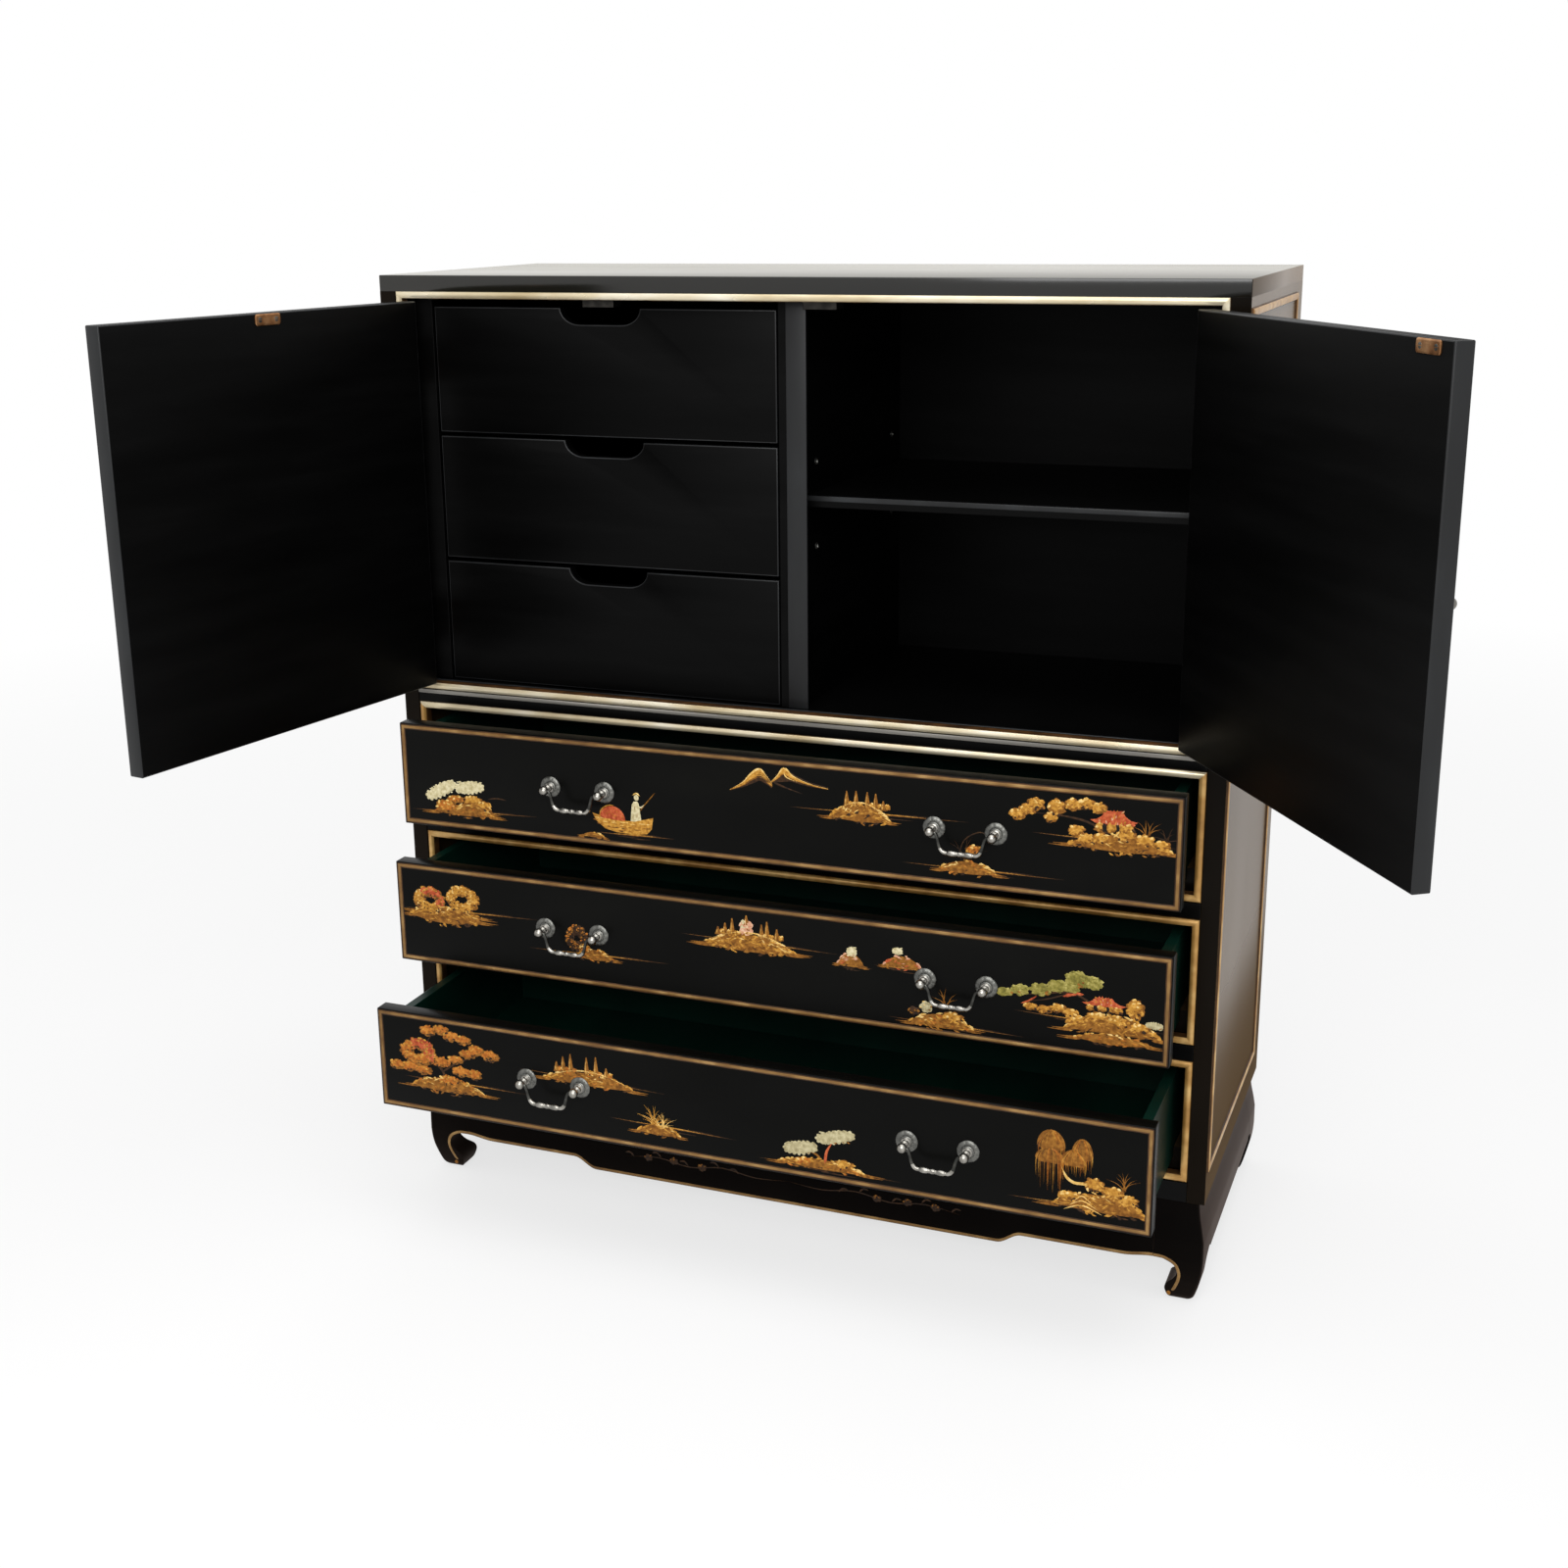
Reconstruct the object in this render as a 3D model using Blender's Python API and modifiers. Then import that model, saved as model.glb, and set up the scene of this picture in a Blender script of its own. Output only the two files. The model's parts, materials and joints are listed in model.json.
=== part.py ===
"""Black lacquer dresser: a two-door cupboard over three wide drawers, on a waisted base with hoof feet.

Metres, +Z up. The dresser is modelled shut, in a frame with x = 0 at its middle, y = 0 at its front face
and z = 0 on the floor. Each moving assembly hangs on an empty at its joint, which is then posed open.
"""

import math

import bmesh
import bpy
from mathutils import Matrix, Vector

# Carcass
WIDTH = 0.920
DEPTH = 0.360
HEIGHT = 1.050
SEAM = 0.0003
TOP_THICK = 0.016
SIDE_THICK = 0.0185
BACK_THICK = 0.006
BASE_THICK = 0.022
CEILING_THICK = 0.008
FLOOR_THICK = 0.018
DIVIDER_THICK = 0.022
SHELF_THICK = 0.012
RAIL_HEIGHT = 0.017
RAIL_DEPTH = 0.055
WAIST_HEIGHT = 0.014
EDGE_ROUND = 0.0015

# Gilt beads round the openings
BEAD_WIDTH = 0.0085
BEAD_DEPTH = 0.0105
BEAD_PROUD = 0.0015
BEAD_ROUND = 0.0022

# Wide drawers, listed from the top
WIDE_NAMES = ("upper", "middle", "lower")
WIDE_BAY_HEIGHT = 0.136
WIDE_OUT = (0.060, 0.085, 0.142)
FRONT_GAP = 0.0015
FRONT_THICK = 0.018
BOX_INSET = 0.010
BOX_WALL = 0.011
BOX_BOTTOM = 0.006
BOX_RAISE = 0.006
BOX_DROP = 0.012
BOX_LENGTH = 0.285
RUNNER_THICK = 0.010
GUIDE_HEIGHT = 0.014
RUNNER_CLEAR = 0.001
RUNNER_ROOT = 0.002

# Drawers behind the left door
INNER_NAMES = ("upper", "middle", "lower")
INNER_SET = 0.0225
INNER_THICK = 0.014
INNER_GAP = 0.0045
INNER_SIDE_GAP = 0.0022
INNER_FOOT_GAP = 0.002
INNER_HEAD_GAP = 0.0012
INNER_WALL = 0.010
INNER_RAISE = 0.012
INNER_DROP = 0.022
INNER_LENGTH = 0.270
LEDGE_THICK = 0.008
LEDGE_ROOT = 0.005
NOTCH_WIDTH = 0.094
NOTCH_FLAT = 0.056
NOTCH_DEPTH = 0.015

# Doors, butt hinges, catches and strike plates
DOOR_THICK = 0.0165
DOOR_FOOT_GAP = 0.0015
DOOR_HEAD_GAP = 0.002
DOOR_MEETING_GAP = 0.002
LEFT_OPEN_DEG = 99.0
RIGHT_OPEN_DEG = 124.5
LEAF_THICK = 0.0011
HINGE_HEIGHT = 0.050
HINGE_FROM_END = 0.065
KNUCKLE_RADIUS = 0.0032
PIN_RADIUS = 0.0014
PIN_CLEAR = 0.0004
KNUCKLE_GAP = 0.0004
STRIKE_THICK = 0.001
STRIKE_WIDTH = 0.034
STRIKE_HEIGHT = 0.011
STRIKE_FROM_TOP = 0.0008
SWING_CLEAR = 0.0012
CATCH_WIDTH = 0.036
CATCH_DEPTH = 0.022
CATCH_HEIGHT = 0.0078
CATCH_LEFT_X = -0.210
CATCH_RIGHT_X = 0.035

# Bail handles
HANDLE_SPACING = 0.064
HANDLE_X = 0.215
HANDLE_RISE = 0.002
DOOR_HANDLE_EDGE = 0.032
DOOR_HANDLE_HEIGHT = 0.219
ROSETTE_RADIUS = 0.0118
ROSETTE_THICK = 0.0045
NECK_RADIUS = 0.0034
BALL_RADIUS = 0.0062
PIVOT_OUT = 0.016
POST_ROOT = 0.002
BAIL_RADIUS = 0.0018
BAIL_PIN_RADIUS = 0.0014
BAIL_BORE_CLEAR = 0.0005
BAIL_HALF = 0.0195
BAIL_TOP_BEND = 0.004
BAIL_FOOT_BEND = 0.007
BAIL_DROP = 0.024
BAIL_BEADS = 5
BEAD_SWELL = 0.0009

# Cupboard fittings
FITTING_SET = 0.0215
SHELF_HEIGHT = 0.8165
SHELF_SET = 0.040
SHELF_SIDE_GAP = 0.0008
SHELF_PIN_RADIUS = 0.0025
SHELF_PIN_LENGTH = 0.008
SHELF_PIN_ROOT = 0.004
SHELF_PIN_FRONT = 0.075
SHELF_PIN_BACK = 0.280

# Base: legs and aprons
LEG_HEIGHT = 0.119
LEG_BLOCK = 0.050
LEG_CORNER = 0.004
APRON_THICK = 0.020
APRON_EDGE = 0.048
APRON_DIP = 0.013
APRON_DIP_HALF = 0.240
APRON_RAMP = 0.028
CUT_PAST = 0.030
REAR_RAIL_HEIGHT = 0.050
REAR_RAIL_THICK = 0.016
# Rows of height above the floor, set-back of the outer face, and reach of the inner face
HOOF_ROWS = (
    (0.000, 0.0100, 0.0330),
    (0.006, 0.0075, 0.0360),
    (0.014, 0.0050, 0.0380),
    (0.021, 0.0030, 0.0360),
    (0.029, 0.0010, 0.0285),
    (0.038, -0.0005, 0.0245),
    (0.046, -0.0012, 0.0290),
    (0.0515, -0.0015, 0.0400),
)
# Height below the carcass and set-back of the outer face, down the waist
WAIST_ROWS = ((0.046, -0.0013), (0.034, 0.0010), (0.020, 0.0042), (0.008, 0.0058), (0.000, 0.0060))

ROUND_STEPS = 12
ARC_STEPS = 4
RAMP_STEPS = 7
WELD = 1e-6

# Levels and faces worked out from the sizes above
HALF = WIDTH / 2
SIDE_FACE = HALF - SIDE_THICK
BOARD_HALF = SIDE_FACE - SEAM
BACK_FACE = DEPTH - BACK_THICK
INNER_BACK = BACK_FACE - SEAM
BASE_TOP = LEG_HEIGHT + BASE_THICK
WIDE_PITCH = WIDE_BAY_HEIGHT + RAIL_HEIGHT
WIDE_COUNT = len(WIDE_NAMES)
WAIST_LOW = BASE_TOP + WIDE_COUNT * WIDE_BAY_HEIGHT + (WIDE_COUNT - 1) * RAIL_HEIGHT
DOOR_BAY_LOW = WAIST_LOW + WAIST_HEIGHT
DOOR_BAY_HIGH = HEIGHT - TOP_THICK
BEAD_FACE = SIDE_FACE - BEAD_WIDTH
CEILING_LOW = DOOR_BAY_HIGH - SEAM - CEILING_THICK
FLOOR_TOP = DOOR_BAY_LOW + BEAD_WIDTH - SEAM

HINGE_GAP = 2 * LEAF_THICK + 3 * SEAM
DOOR_EDGE = BEAD_FACE - HINGE_GAP
PIN_X = BEAD_FACE - HINGE_GAP / 2
PIN_Y = -(BEAD_PROUD + KNUCKLE_RADIUS + SEAM)
DOOR_LOW = DOOR_BAY_LOW + BEAD_WIDTH + DOOR_FOOT_GAP
DOOR_HIGH = DOOR_BAY_HIGH - BEAD_WIDTH - DOOR_HEAD_GAP
DOOR_FREE = DOOR_MEETING_GAP / 2
CATCH_LOW = CEILING_LOW - SEAM - CATCH_HEIGHT
STRIKE_FACE = DOOR_THICK + SEAM + STRIKE_THICK

# The open door and its strike plate swing past the inner drawers, which start beyond their reach
INNER_EDGE = -PIN_X + STRIKE_FACE - PIN_Y + SWING_CLEAR
BAY_FACE = INNER_EDGE - INNER_SIDE_GAP
INNER_FREE = -DIVIDER_THICK / 2 - INNER_SIDE_GAP
INNER_COUNT = len(INNER_NAMES)
INNER_LOW = FLOOR_TOP + INNER_FOOT_GAP
INNER_ROOM = CATCH_LOW - INNER_HEAD_GAP - INNER_LOW
INNER_HEIGHT = (INNER_ROOM - (INNER_COUNT - 1) * INNER_GAP) / INNER_COUNT

FRONT_HALF = BEAD_FACE - FRONT_GAP
BOX_HALF = FRONT_HALF - BOX_INSET


def clear_scene():
    """Empties the scene and makes the two collections."""
    for item in list(bpy.data.objects):
        bpy.data.objects.remove(item, do_unlink=True)
    made = []
    for name in ("lacquer_dresser", "cutters"):
        collection = bpy.data.collections.new(name)
        bpy.context.scene.collection.children.link(collection)
        made.append(collection)
    return made


PARTS, CUTTERS = clear_scene()


def finish(name, colour, roughness, metallic):
    """A Principled material."""
    material = bpy.data.materials.new(name)
    material.use_nodes = True
    shader = material.node_tree.nodes["Principled BSDF"]
    shader.inputs["Base Color"].default_value = (*colour, 1.0)
    shader.inputs["Roughness"].default_value = roughness
    shader.inputs["Metallic"].default_value = metallic
    material.diffuse_color = (*colour, 1.0)
    return material


LACQUER = finish("black_lacquer", (0.010, 0.010, 0.011), 0.22, 0.0)
INTERIOR = finish("satin_black_inside", (0.012, 0.012, 0.012), 0.45, 0.0)
GREEN = finish("dark_green_drawer_inside", (0.006, 0.020, 0.016), 0.40, 0.0)
GILT = finish("gilt_bead", (0.640, 0.400, 0.130), 0.35, 0.6)
PEWTER = finish("pewter_handle", (0.450, 0.450, 0.430), 0.28, 1.0)
BRASS = finish("brass_hardware", (0.560, 0.360, 0.180), 0.32, 1.0)


def empty(name, location, parent=None):
    """A joint's empty, or the dresser's own origin."""
    item = bpy.data.objects.new(name, None)
    item.location = location
    item.empty_display_size = 0.05
    PARTS.objects.link(item)
    if parent:
        item.parent = parent
    return item


ROOT = empty("dresser_origin", (0, 0, 0))


def add(name, mesh, location, material, body, collection=PARTS):
    """Puts a mesh at a place in the shut dresser, carried by a body's empty."""
    item = bpy.data.objects.new(name, mesh)
    collection.objects.link(item)
    if material:
        mesh.materials.clear()
        mesh.materials.append(material)
    item.location = location
    item.parent = body
    if body is not ROOT:
        item.matrix_parent_inverse = Matrix.Translation(body.location).inverted()
    if collection is CUTTERS:
        item.hide_render = True
        item.display_type = "WIRE"
    return item


def mesh_from(bm, name):
    """Turns a bmesh into a mesh with outward faces."""
    bmesh.ops.recalc_face_normals(bm, faces=bm.faces)
    mesh = bpy.data.meshes.new(name)
    bm.to_mesh(mesh)
    bm.free()
    return mesh


def frozen(item, name):
    """The evaluated mesh of a helper object, welded, after which the helper goes."""
    bpy.context.view_layer.update()
    graph = bpy.context.evaluated_depsgraph_get()
    mesh = bpy.data.meshes.new_from_object(item.evaluated_get(graph))
    bm = bmesh.new()
    bm.from_mesh(mesh)
    bmesh.ops.remove_doubles(bm, verts=bm.verts, dist=WELD)
    bpy.data.objects.remove(item, do_unlink=True)
    return mesh_from(bm, name)


def block_mesh(name, size):
    """A box of the given size about its centre."""
    bm = bmesh.new()
    bmesh.ops.create_cube(bm, size=1.0)
    bmesh.ops.scale(bm, vec=Vector(size), verts=bm.verts)
    return mesh_from(bm, name)


def board(name, low, high, material, body, rounding=0.0, collection=PARTS):
    """A board between two corners, with rounded edges if asked."""
    low, high = Vector(low), Vector(high)
    item = add(name, block_mesh(name, high - low), (low + high) / 2, material, body, collection)
    if rounding:
        soft = item.modifiers.new("rounded_edges", "BEVEL")
        soft.width = rounding
        soft.segments = 2
    return item


def rod_mesh(name, radius, length):
    """A cylinder along x about its centre."""
    bm = bmesh.new()
    bmesh.ops.create_cone(
        bm, cap_ends=True, segments=ROUND_STEPS, radius1=radius, radius2=radius, depth=length,
        matrix=Matrix.Rotation(math.radians(90), 4, "Y"),
    )
    return mesh_from(bm, name)


def outline_mesh(name, loops, thickness, along, rounding=0.0):
    """A flat outline, with holes if it has more loops, given a thickness along x or y.

    The loops are in (x, z) for a thickness along y, and in (y, z) for one along x.
    """
    curve = bpy.data.curves.new(name, "CURVE")
    curve.dimensions = "2D"
    curve.fill_mode = "BOTH"
    curve.extrude = thickness / 2 - rounding
    curve.bevel_depth = rounding
    curve.bevel_resolution = 1
    curve.offset = -rounding
    for loop in loops:
        spline = curve.splines.new("POLY")
        spline.points.add(len(loop) - 1)
        for point, (across, up) in zip(spline.points, loop):
            point.co = (across, up, 0, 1)
        spline.use_cyclic_u = True
    helper = bpy.data.objects.new(name, curve)
    bpy.context.scene.collection.objects.link(helper)
    mesh = frozen(helper, name)
    upright = Matrix.Rotation(math.radians(90), 4, "X")
    if along == "x":
        upright = Matrix.Rotation(math.radians(90), 4, "Z") @ upright
    mesh.transform(upright)
    return mesh


def boolean(target, other, operation):
    """Joins another object to a target, or cuts it out, and keeps that object as a helper."""
    step = target.modifiers.new(other.name, "BOOLEAN")
    step.operation = operation
    step.object = other
    step.solver = "EXACT"


def rectangle(half, low, high):
    """The corners of an upright rectangle about x = 0."""
    return [(-half, low), (half, low), (half, high), (-half, high)]


def ramp(start, end, steps):
    """Points along a smooth S from one point to another, without its last point."""
    points = []
    for i in range(steps):
        t = i / steps
        ease = (1 - math.cos(math.pi * t)) / 2
        points.append((start[0] + (end[0] - start[0]) * t, start[1] + (end[1] - start[1]) * ease))
    return points


def wide_bay(row):
    """The lowest and highest level of a wide drawer's opening, counted from the top."""
    low = BASE_TOP + (WIDE_COUNT - 1 - row) * WIDE_PITCH
    return low, low + WIDE_BAY_HEIGHT


def wide_front_levels(row):
    """The lowest and highest level of a wide drawer's front."""
    low, high = wide_bay(row)
    return low + BEAD_WIDTH + FRONT_GAP, high - BEAD_WIDTH - FRONT_GAP


def inner_front_levels(row):
    """The lowest and highest level of an inner drawer's front, counted from the top."""
    low = INNER_LOW + (INNER_COUNT - 1 - row) * (INNER_HEIGHT + INNER_GAP)
    return low, low + INNER_HEIGHT


def build_boards():
    """The plain boards of the carcass."""
    board("top_panel", (-HALF, 0, DOOR_BAY_HIGH), (HALF, DEPTH, HEIGHT), LACQUER, ROOT, EDGE_ROUND)
    board("ceiling_board", (-BOARD_HALF, BEAD_DEPTH + SEAM, CEILING_LOW),
          (BOARD_HALF, INNER_BACK, DOOR_BAY_HIGH - SEAM), INTERIOR, ROOT)
    board("back_panel", (-BOARD_HALF, BACK_FACE, LEG_HEIGHT),
          (BOARD_HALF, DEPTH, DOOR_BAY_HIGH - SEAM), INTERIOR, ROOT)
    board("base_board", (-BOARD_HALF, 0, LEG_HEIGHT), (BOARD_HALF, INNER_BACK, BASE_TOP), LACQUER, ROOT)
    board("waist_rail", (-BOARD_HALF, 0, WAIST_LOW), (BOARD_HALF, BEAD_DEPTH, DOOR_BAY_LOW), LACQUER, ROOT)
    for name, row in (("upper_drawer_rail", 0), ("lower_drawer_rail", 1)):
        low, _ = wide_bay(row)
        board(name, (-BOARD_HALF, 0, low - RAIL_HEIGHT), (BOARD_HALF, RAIL_DEPTH, low), LACQUER, ROOT)
    board("cupboard_floor", (-BOARD_HALF, BEAD_DEPTH + SEAM, FLOOR_TOP - FLOOR_THICK),
          (BOARD_HALF, INNER_BACK, FLOOR_TOP), INTERIOR, ROOT)
    board("cupboard_shelf", (DIVIDER_THICK / 2 + SHELF_SIDE_GAP, SHELF_SET, SHELF_HEIGHT),
          (SIDE_FACE - SHELF_SIDE_GAP, INNER_BACK - SEAM, SHELF_HEIGHT + SHELF_THICK), INTERIOR, ROOT)


def runner_loop(row, side):
    """The L section of a wide drawer's runner in (x, z): a ledge under the box and a guide beside it."""
    low, _ = wide_front_levels(row)
    ledge_top = low + BOX_RAISE - SEAM
    root = SIDE_FACE + RUNNER_ROOT
    guide = BOX_HALF + RUNNER_CLEAR
    lip = BOX_HALF - BOX_WALL - RUNNER_CLEAR
    loop = [
        (root, ledge_top - RUNNER_THICK), (lip, ledge_top - RUNNER_THICK), (lip, ledge_top),
        (guide, ledge_top), (guide, ledge_top + GUIDE_HEIGHT), (root, ledge_top + GUIDE_HEIGHT),
    ]
    return [(side * x, z) for x, z in loop]


def join_shelf_pins(target, face, toward):
    """Shelf pins on a board's face, pointing along x, just under the shelf."""
    length = SHELF_PIN_LENGTH + SHELF_PIN_ROOT
    start = face - toward * SHELF_PIN_ROOT
    for place, y in (("front", SHELF_PIN_FRONT), ("back", SHELF_PIN_BACK)):
        name = f"{target.name}_{place}_shelf_pin"
        middle = (start + toward * length / 2, y, SHELF_HEIGHT - SEAM - SHELF_PIN_RADIUS)
        pin = add(name, rod_mesh(name, SHELF_PIN_RADIUS, length), middle, None, ROOT, CUTTERS)
        boolean(target, pin, "UNION")


def build_side(name, side):
    """A side with the runners of the wide drawers; the right one also has shelf pins."""
    faces = sorted((side * SIDE_FACE, side * HALF))
    target = board(name, (faces[0], 0, LEG_HEIGHT), (faces[1], DEPTH, DOOR_BAY_HIGH - SEAM), LACQUER, ROOT)
    start = FRONT_THICK + RUNNER_CLEAR
    length = INNER_BACK - start
    for row in range(WIDE_COUNT):
        helper = f"{name}_{WIDE_NAMES[row]}_runner"
        mesh = outline_mesh(helper, [runner_loop(row, side)], length, "y")
        runner = add(helper, mesh, (0, start + length / 2, 0), None, ROOT, CUTTERS)
        boolean(target, runner, "UNION")
    if side > 0:
        join_shelf_pins(target, SIDE_FACE, -1)


def join_ledges(target, face, toward):
    """Ledges for the inner drawers on a board's face."""
    reach = INNER_SIDE_GAP + INNER_WALL + RUNNER_CLEAR
    start = INNER_SET + INNER_THICK + SEAM
    for row in range(INNER_COUNT):
        top = inner_front_levels(row)[0] + INNER_RAISE - SEAM
        spans = sorted((face - toward * LEDGE_ROOT, face + toward * reach))
        ledge = board(f"{target.name}_{INNER_NAMES[row]}_ledge", (spans[0], start, top - LEDGE_THICK),
                      (spans[1], INNER_BACK - INNER_WALL, top), None, ROOT, 0, CUTTERS)
        boolean(target, ledge, "UNION")


def build_cupboard_walls():
    """The divider and the bay side, between which the inner drawers run."""
    low, high = FLOOR_TOP + SEAM, CEILING_LOW - SEAM
    divider = board("centre_divider", (-DIVIDER_THICK / 2, FITTING_SET, low),
                    (DIVIDER_THICK / 2, INNER_BACK, high), INTERIOR, ROOT)
    join_ledges(divider, -DIVIDER_THICK / 2, -1)
    join_shelf_pins(divider, DIVIDER_THICK / 2, 1)
    bay = board("drawer_bay_side", (-BOARD_HALF, FITTING_SET, low),
                (BAY_FACE, INNER_BACK, high), INTERIOR, ROOT)
    join_ledges(bay, BAY_FACE, 1)


def build_bead(name, low, high):
    """A gilt bead: a round-edged frame set in an opening and standing proud of the front."""
    low, high = low + SEAM, high - SEAM
    inner = rectangle(BEAD_FACE, low + BEAD_WIDTH - SEAM, high - BEAD_WIDTH + SEAM)
    loops = [rectangle(BOARD_HALF, low, high), inner]
    mesh = outline_mesh(name, loops, BEAD_DEPTH + BEAD_PROUD, "y", BEAD_ROUND)
    add(name, mesh, (0, (BEAD_DEPTH - BEAD_PROUD) / 2, 0), GILT, ROOT)


def smooth_rows(rows, steps):
    """Rows of numbers joined by a smooth curve through them, with extra rows in between."""
    drawn = []
    for i in range(len(rows) - 1):
        before, start = rows[max(i - 1, 0)], rows[i]
        end, after = rows[i + 1], rows[min(i + 2, len(rows) - 1)]
        for step in range(steps):
            t = step / steps
            drawn.append(tuple(
                b + 0.5 * t * (c - a + t * (2 * a - 5 * b + 4 * c - d + t * (3 * (b - c) + d - a)))
                for a, b, c, d in zip(before, start, end, after)
            ))
    drawn.append(tuple(rows[-1]))
    return drawn


def leg_rows():
    """Height, outer set-back and inner reach up the leg: hoof, arch and the block under the carcass."""
    top = LEG_HEIGHT - SEAM
    block = [(top - drop, set_back, LEG_BLOCK) for drop, set_back in smooth_rows(WAIST_ROWS, 2)]
    arch = (HOOF_ROWS[-1][0] + SEAM, HOOF_ROWS[-1][1], LEG_BLOCK)
    return smooth_rows(HOOF_ROWS, 2) + [arch] + block


def bulge_rows():
    """Height and outer set-back of the apron, from its lowest point to the carcass."""
    lowest = APRON_EDGE - APRON_DIP
    rows = [(z, set_back) for z, set_back, _ in leg_rows() if z > lowest + LEG_CORNER]
    return [(lowest, rows[0][1])] + rows


def build_leg(name, side, front):
    """A hoof leg, lofted up through square sections with a rounded corner; flat behind at the rear."""
    bm = bmesh.new()
    rings = []
    for z, set_back, reach in leg_rows():
        depth_set = set_back if front else 0.0
        corner = []
        for i in range(ARC_STEPS + 1):
            turn = math.radians(90) * i / ARC_STEPS
            across = set_back + LEG_CORNER * (1 - math.cos(turn))
            corner.append((across, depth_set + LEG_CORNER * (1 - math.sin(turn))))
        section = [(reach, depth_set), (reach, reach), (set_back, reach)] + corner
        ring = []
        for across, back in section:
            y = back if front else DEPTH - back
            ring.append(bm.verts.new((side * (HALF - across), y, z)))
        rings.append(ring)
    bmesh.ops.contextual_create(bm, geom=rings[0])
    bmesh.ops.contextual_create(bm, geom=rings[-1])
    count = len(rings[0])
    for lower, upper in zip(rings, rings[1:]):
        for i in range(count):
            j = (i + 1) % count
            bm.faces.new((lower[i], lower[j], upper[j], upper[i]))
    add(name, mesh_from(bm, name), (0, 0, 0), LACQUER, ROOT)


def build_apron(name, length, place, turn, dips):
    """An apron: the bulging section drawn out along its length, its lower edge cut to a cusped line."""
    rows = bulge_rows()
    section = [(set_back, z) for z, set_back in rows]
    section += [(APRON_THICK, rows[-1][0]), (APRON_THICK, rows[0][0])]
    target = add(name, outline_mesh(name, [section], length, "x"), place, LACQUER, ROOT)
    target.rotation_euler.z = turn
    half = length / 2 + LEG_BLOCK
    edge = APRON_EDGE
    floor = edge - APRON_DIP - CUT_PAST
    loop = [(half, edge), (half, floor), (-half, floor), (-half, edge)]
    if dips:
        start, end = APRON_DIP_HALF + APRON_RAMP, APRON_DIP_HALF
        dip = edge - APRON_DIP
        loop += ramp((-start, edge), (-end, dip), RAMP_STEPS) + [(-end, dip)]
        loop += ramp((end, dip), (start, edge), RAMP_STEPS) + [(start, edge)]
    helper = f"{name}_lower_edge"
    sweep = outline_mesh(helper, [loop], 2 * (APRON_THICK + CUT_PAST), "y")
    cutter = add(helper, sweep, place, None, ROOT, CUTTERS)
    cutter.rotation_euler.z = turn
    boolean(target, cutter, "DIFFERENCE")


def build_base():
    """The legs, the aprons between them and the plain rail at the back."""
    for name, side, front in (("front_left_leg", -1, True), ("front_right_leg", 1, True),
                              ("rear_left_leg", -1, False), ("rear_right_leg", 1, False)):
        build_leg(name, side, front)
    seat = LEG_BLOCK + SEAM
    build_apron("front_apron", WIDTH - 2 * seat, (0, 0, 0), 0.0, True)
    middle = DEPTH / 2
    build_apron("left_apron", DEPTH - 2 * seat, (-HALF, middle, 0), math.radians(-90), False)
    build_apron("right_apron", DEPTH - 2 * seat, (HALF, middle, 0), math.radians(90), False)
    top = LEG_HEIGHT - SEAM
    board("rear_rail", (-HALF + seat, DEPTH - REAR_RAIL_THICK, top - REAR_RAIL_HEIGHT),
          (HALF - seat, DEPTH, top), LACQUER, ROOT)


def post_mesh():
    """A turned handle post, standing along -y: rosette, neck and a ball bored for the bail's pin."""
    profile = []
    neck_turn = math.pi - math.asin(NECK_RADIUS / BALL_RADIUS)
    for i in range(ARC_STEPS + 2):
        turn = neck_turn * i / (ARC_STEPS + 1)
        profile.append((BALL_RADIUS * math.sin(turn), PIVOT_OUT + BALL_RADIUS * math.cos(turn)))
    profile += [(NECK_RADIUS, ROSETTE_THICK + NECK_RADIUS / 2), (2 * NECK_RADIUS, ROSETTE_THICK)]
    profile += [(ROSETTE_RADIUS, ROSETTE_THICK / 2), (ROSETTE_RADIUS, -POST_ROOT), (0, -POST_ROOT)]
    line = bpy.data.meshes.new("post_profile")
    line.from_pydata([(x, 0, z) for x, z in profile], [(i, i + 1) for i in range(len(profile) - 1)], [])
    helper = bpy.data.objects.new("post_profile", line)
    bpy.context.scene.collection.objects.link(helper)
    turned = helper.modifiers.new("turned", "SCREW")
    turned.axis = "Z"
    turned.steps = ROUND_STEPS
    turned.render_steps = ROUND_STEPS
    turned.use_merge_vertices = True
    turned.merge_threshold = 0.0001
    solid = frozen(helper, "turned_post")
    post = bpy.data.objects.new("turned_post", solid)
    bpy.context.scene.collection.objects.link(post)
    hole = rod_mesh("pin_bore", BAIL_PIN_RADIUS + BAIL_BORE_CLEAR, 2 * BALL_RADIUS)
    bore = bpy.data.objects.new("pin_bore", hole)
    bpy.context.scene.collection.objects.link(bore)
    bore.location = (BALL_RADIUS - BAIL_BORE_CLEAR, 0, PIVOT_OUT)
    boolean(post, bore, "DIFFERENCE")
    mesh = frozen(post, "handle_post")
    bpy.data.objects.remove(bore, do_unlink=True)
    mesh.transform(Matrix.Rotation(math.radians(90), 4, "X"))
    return mesh


POST = post_mesh()
POST_TURNED = POST.copy()
POST_TURNED.transform(Matrix.Rotation(math.radians(180), 4, "Y"))


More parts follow.
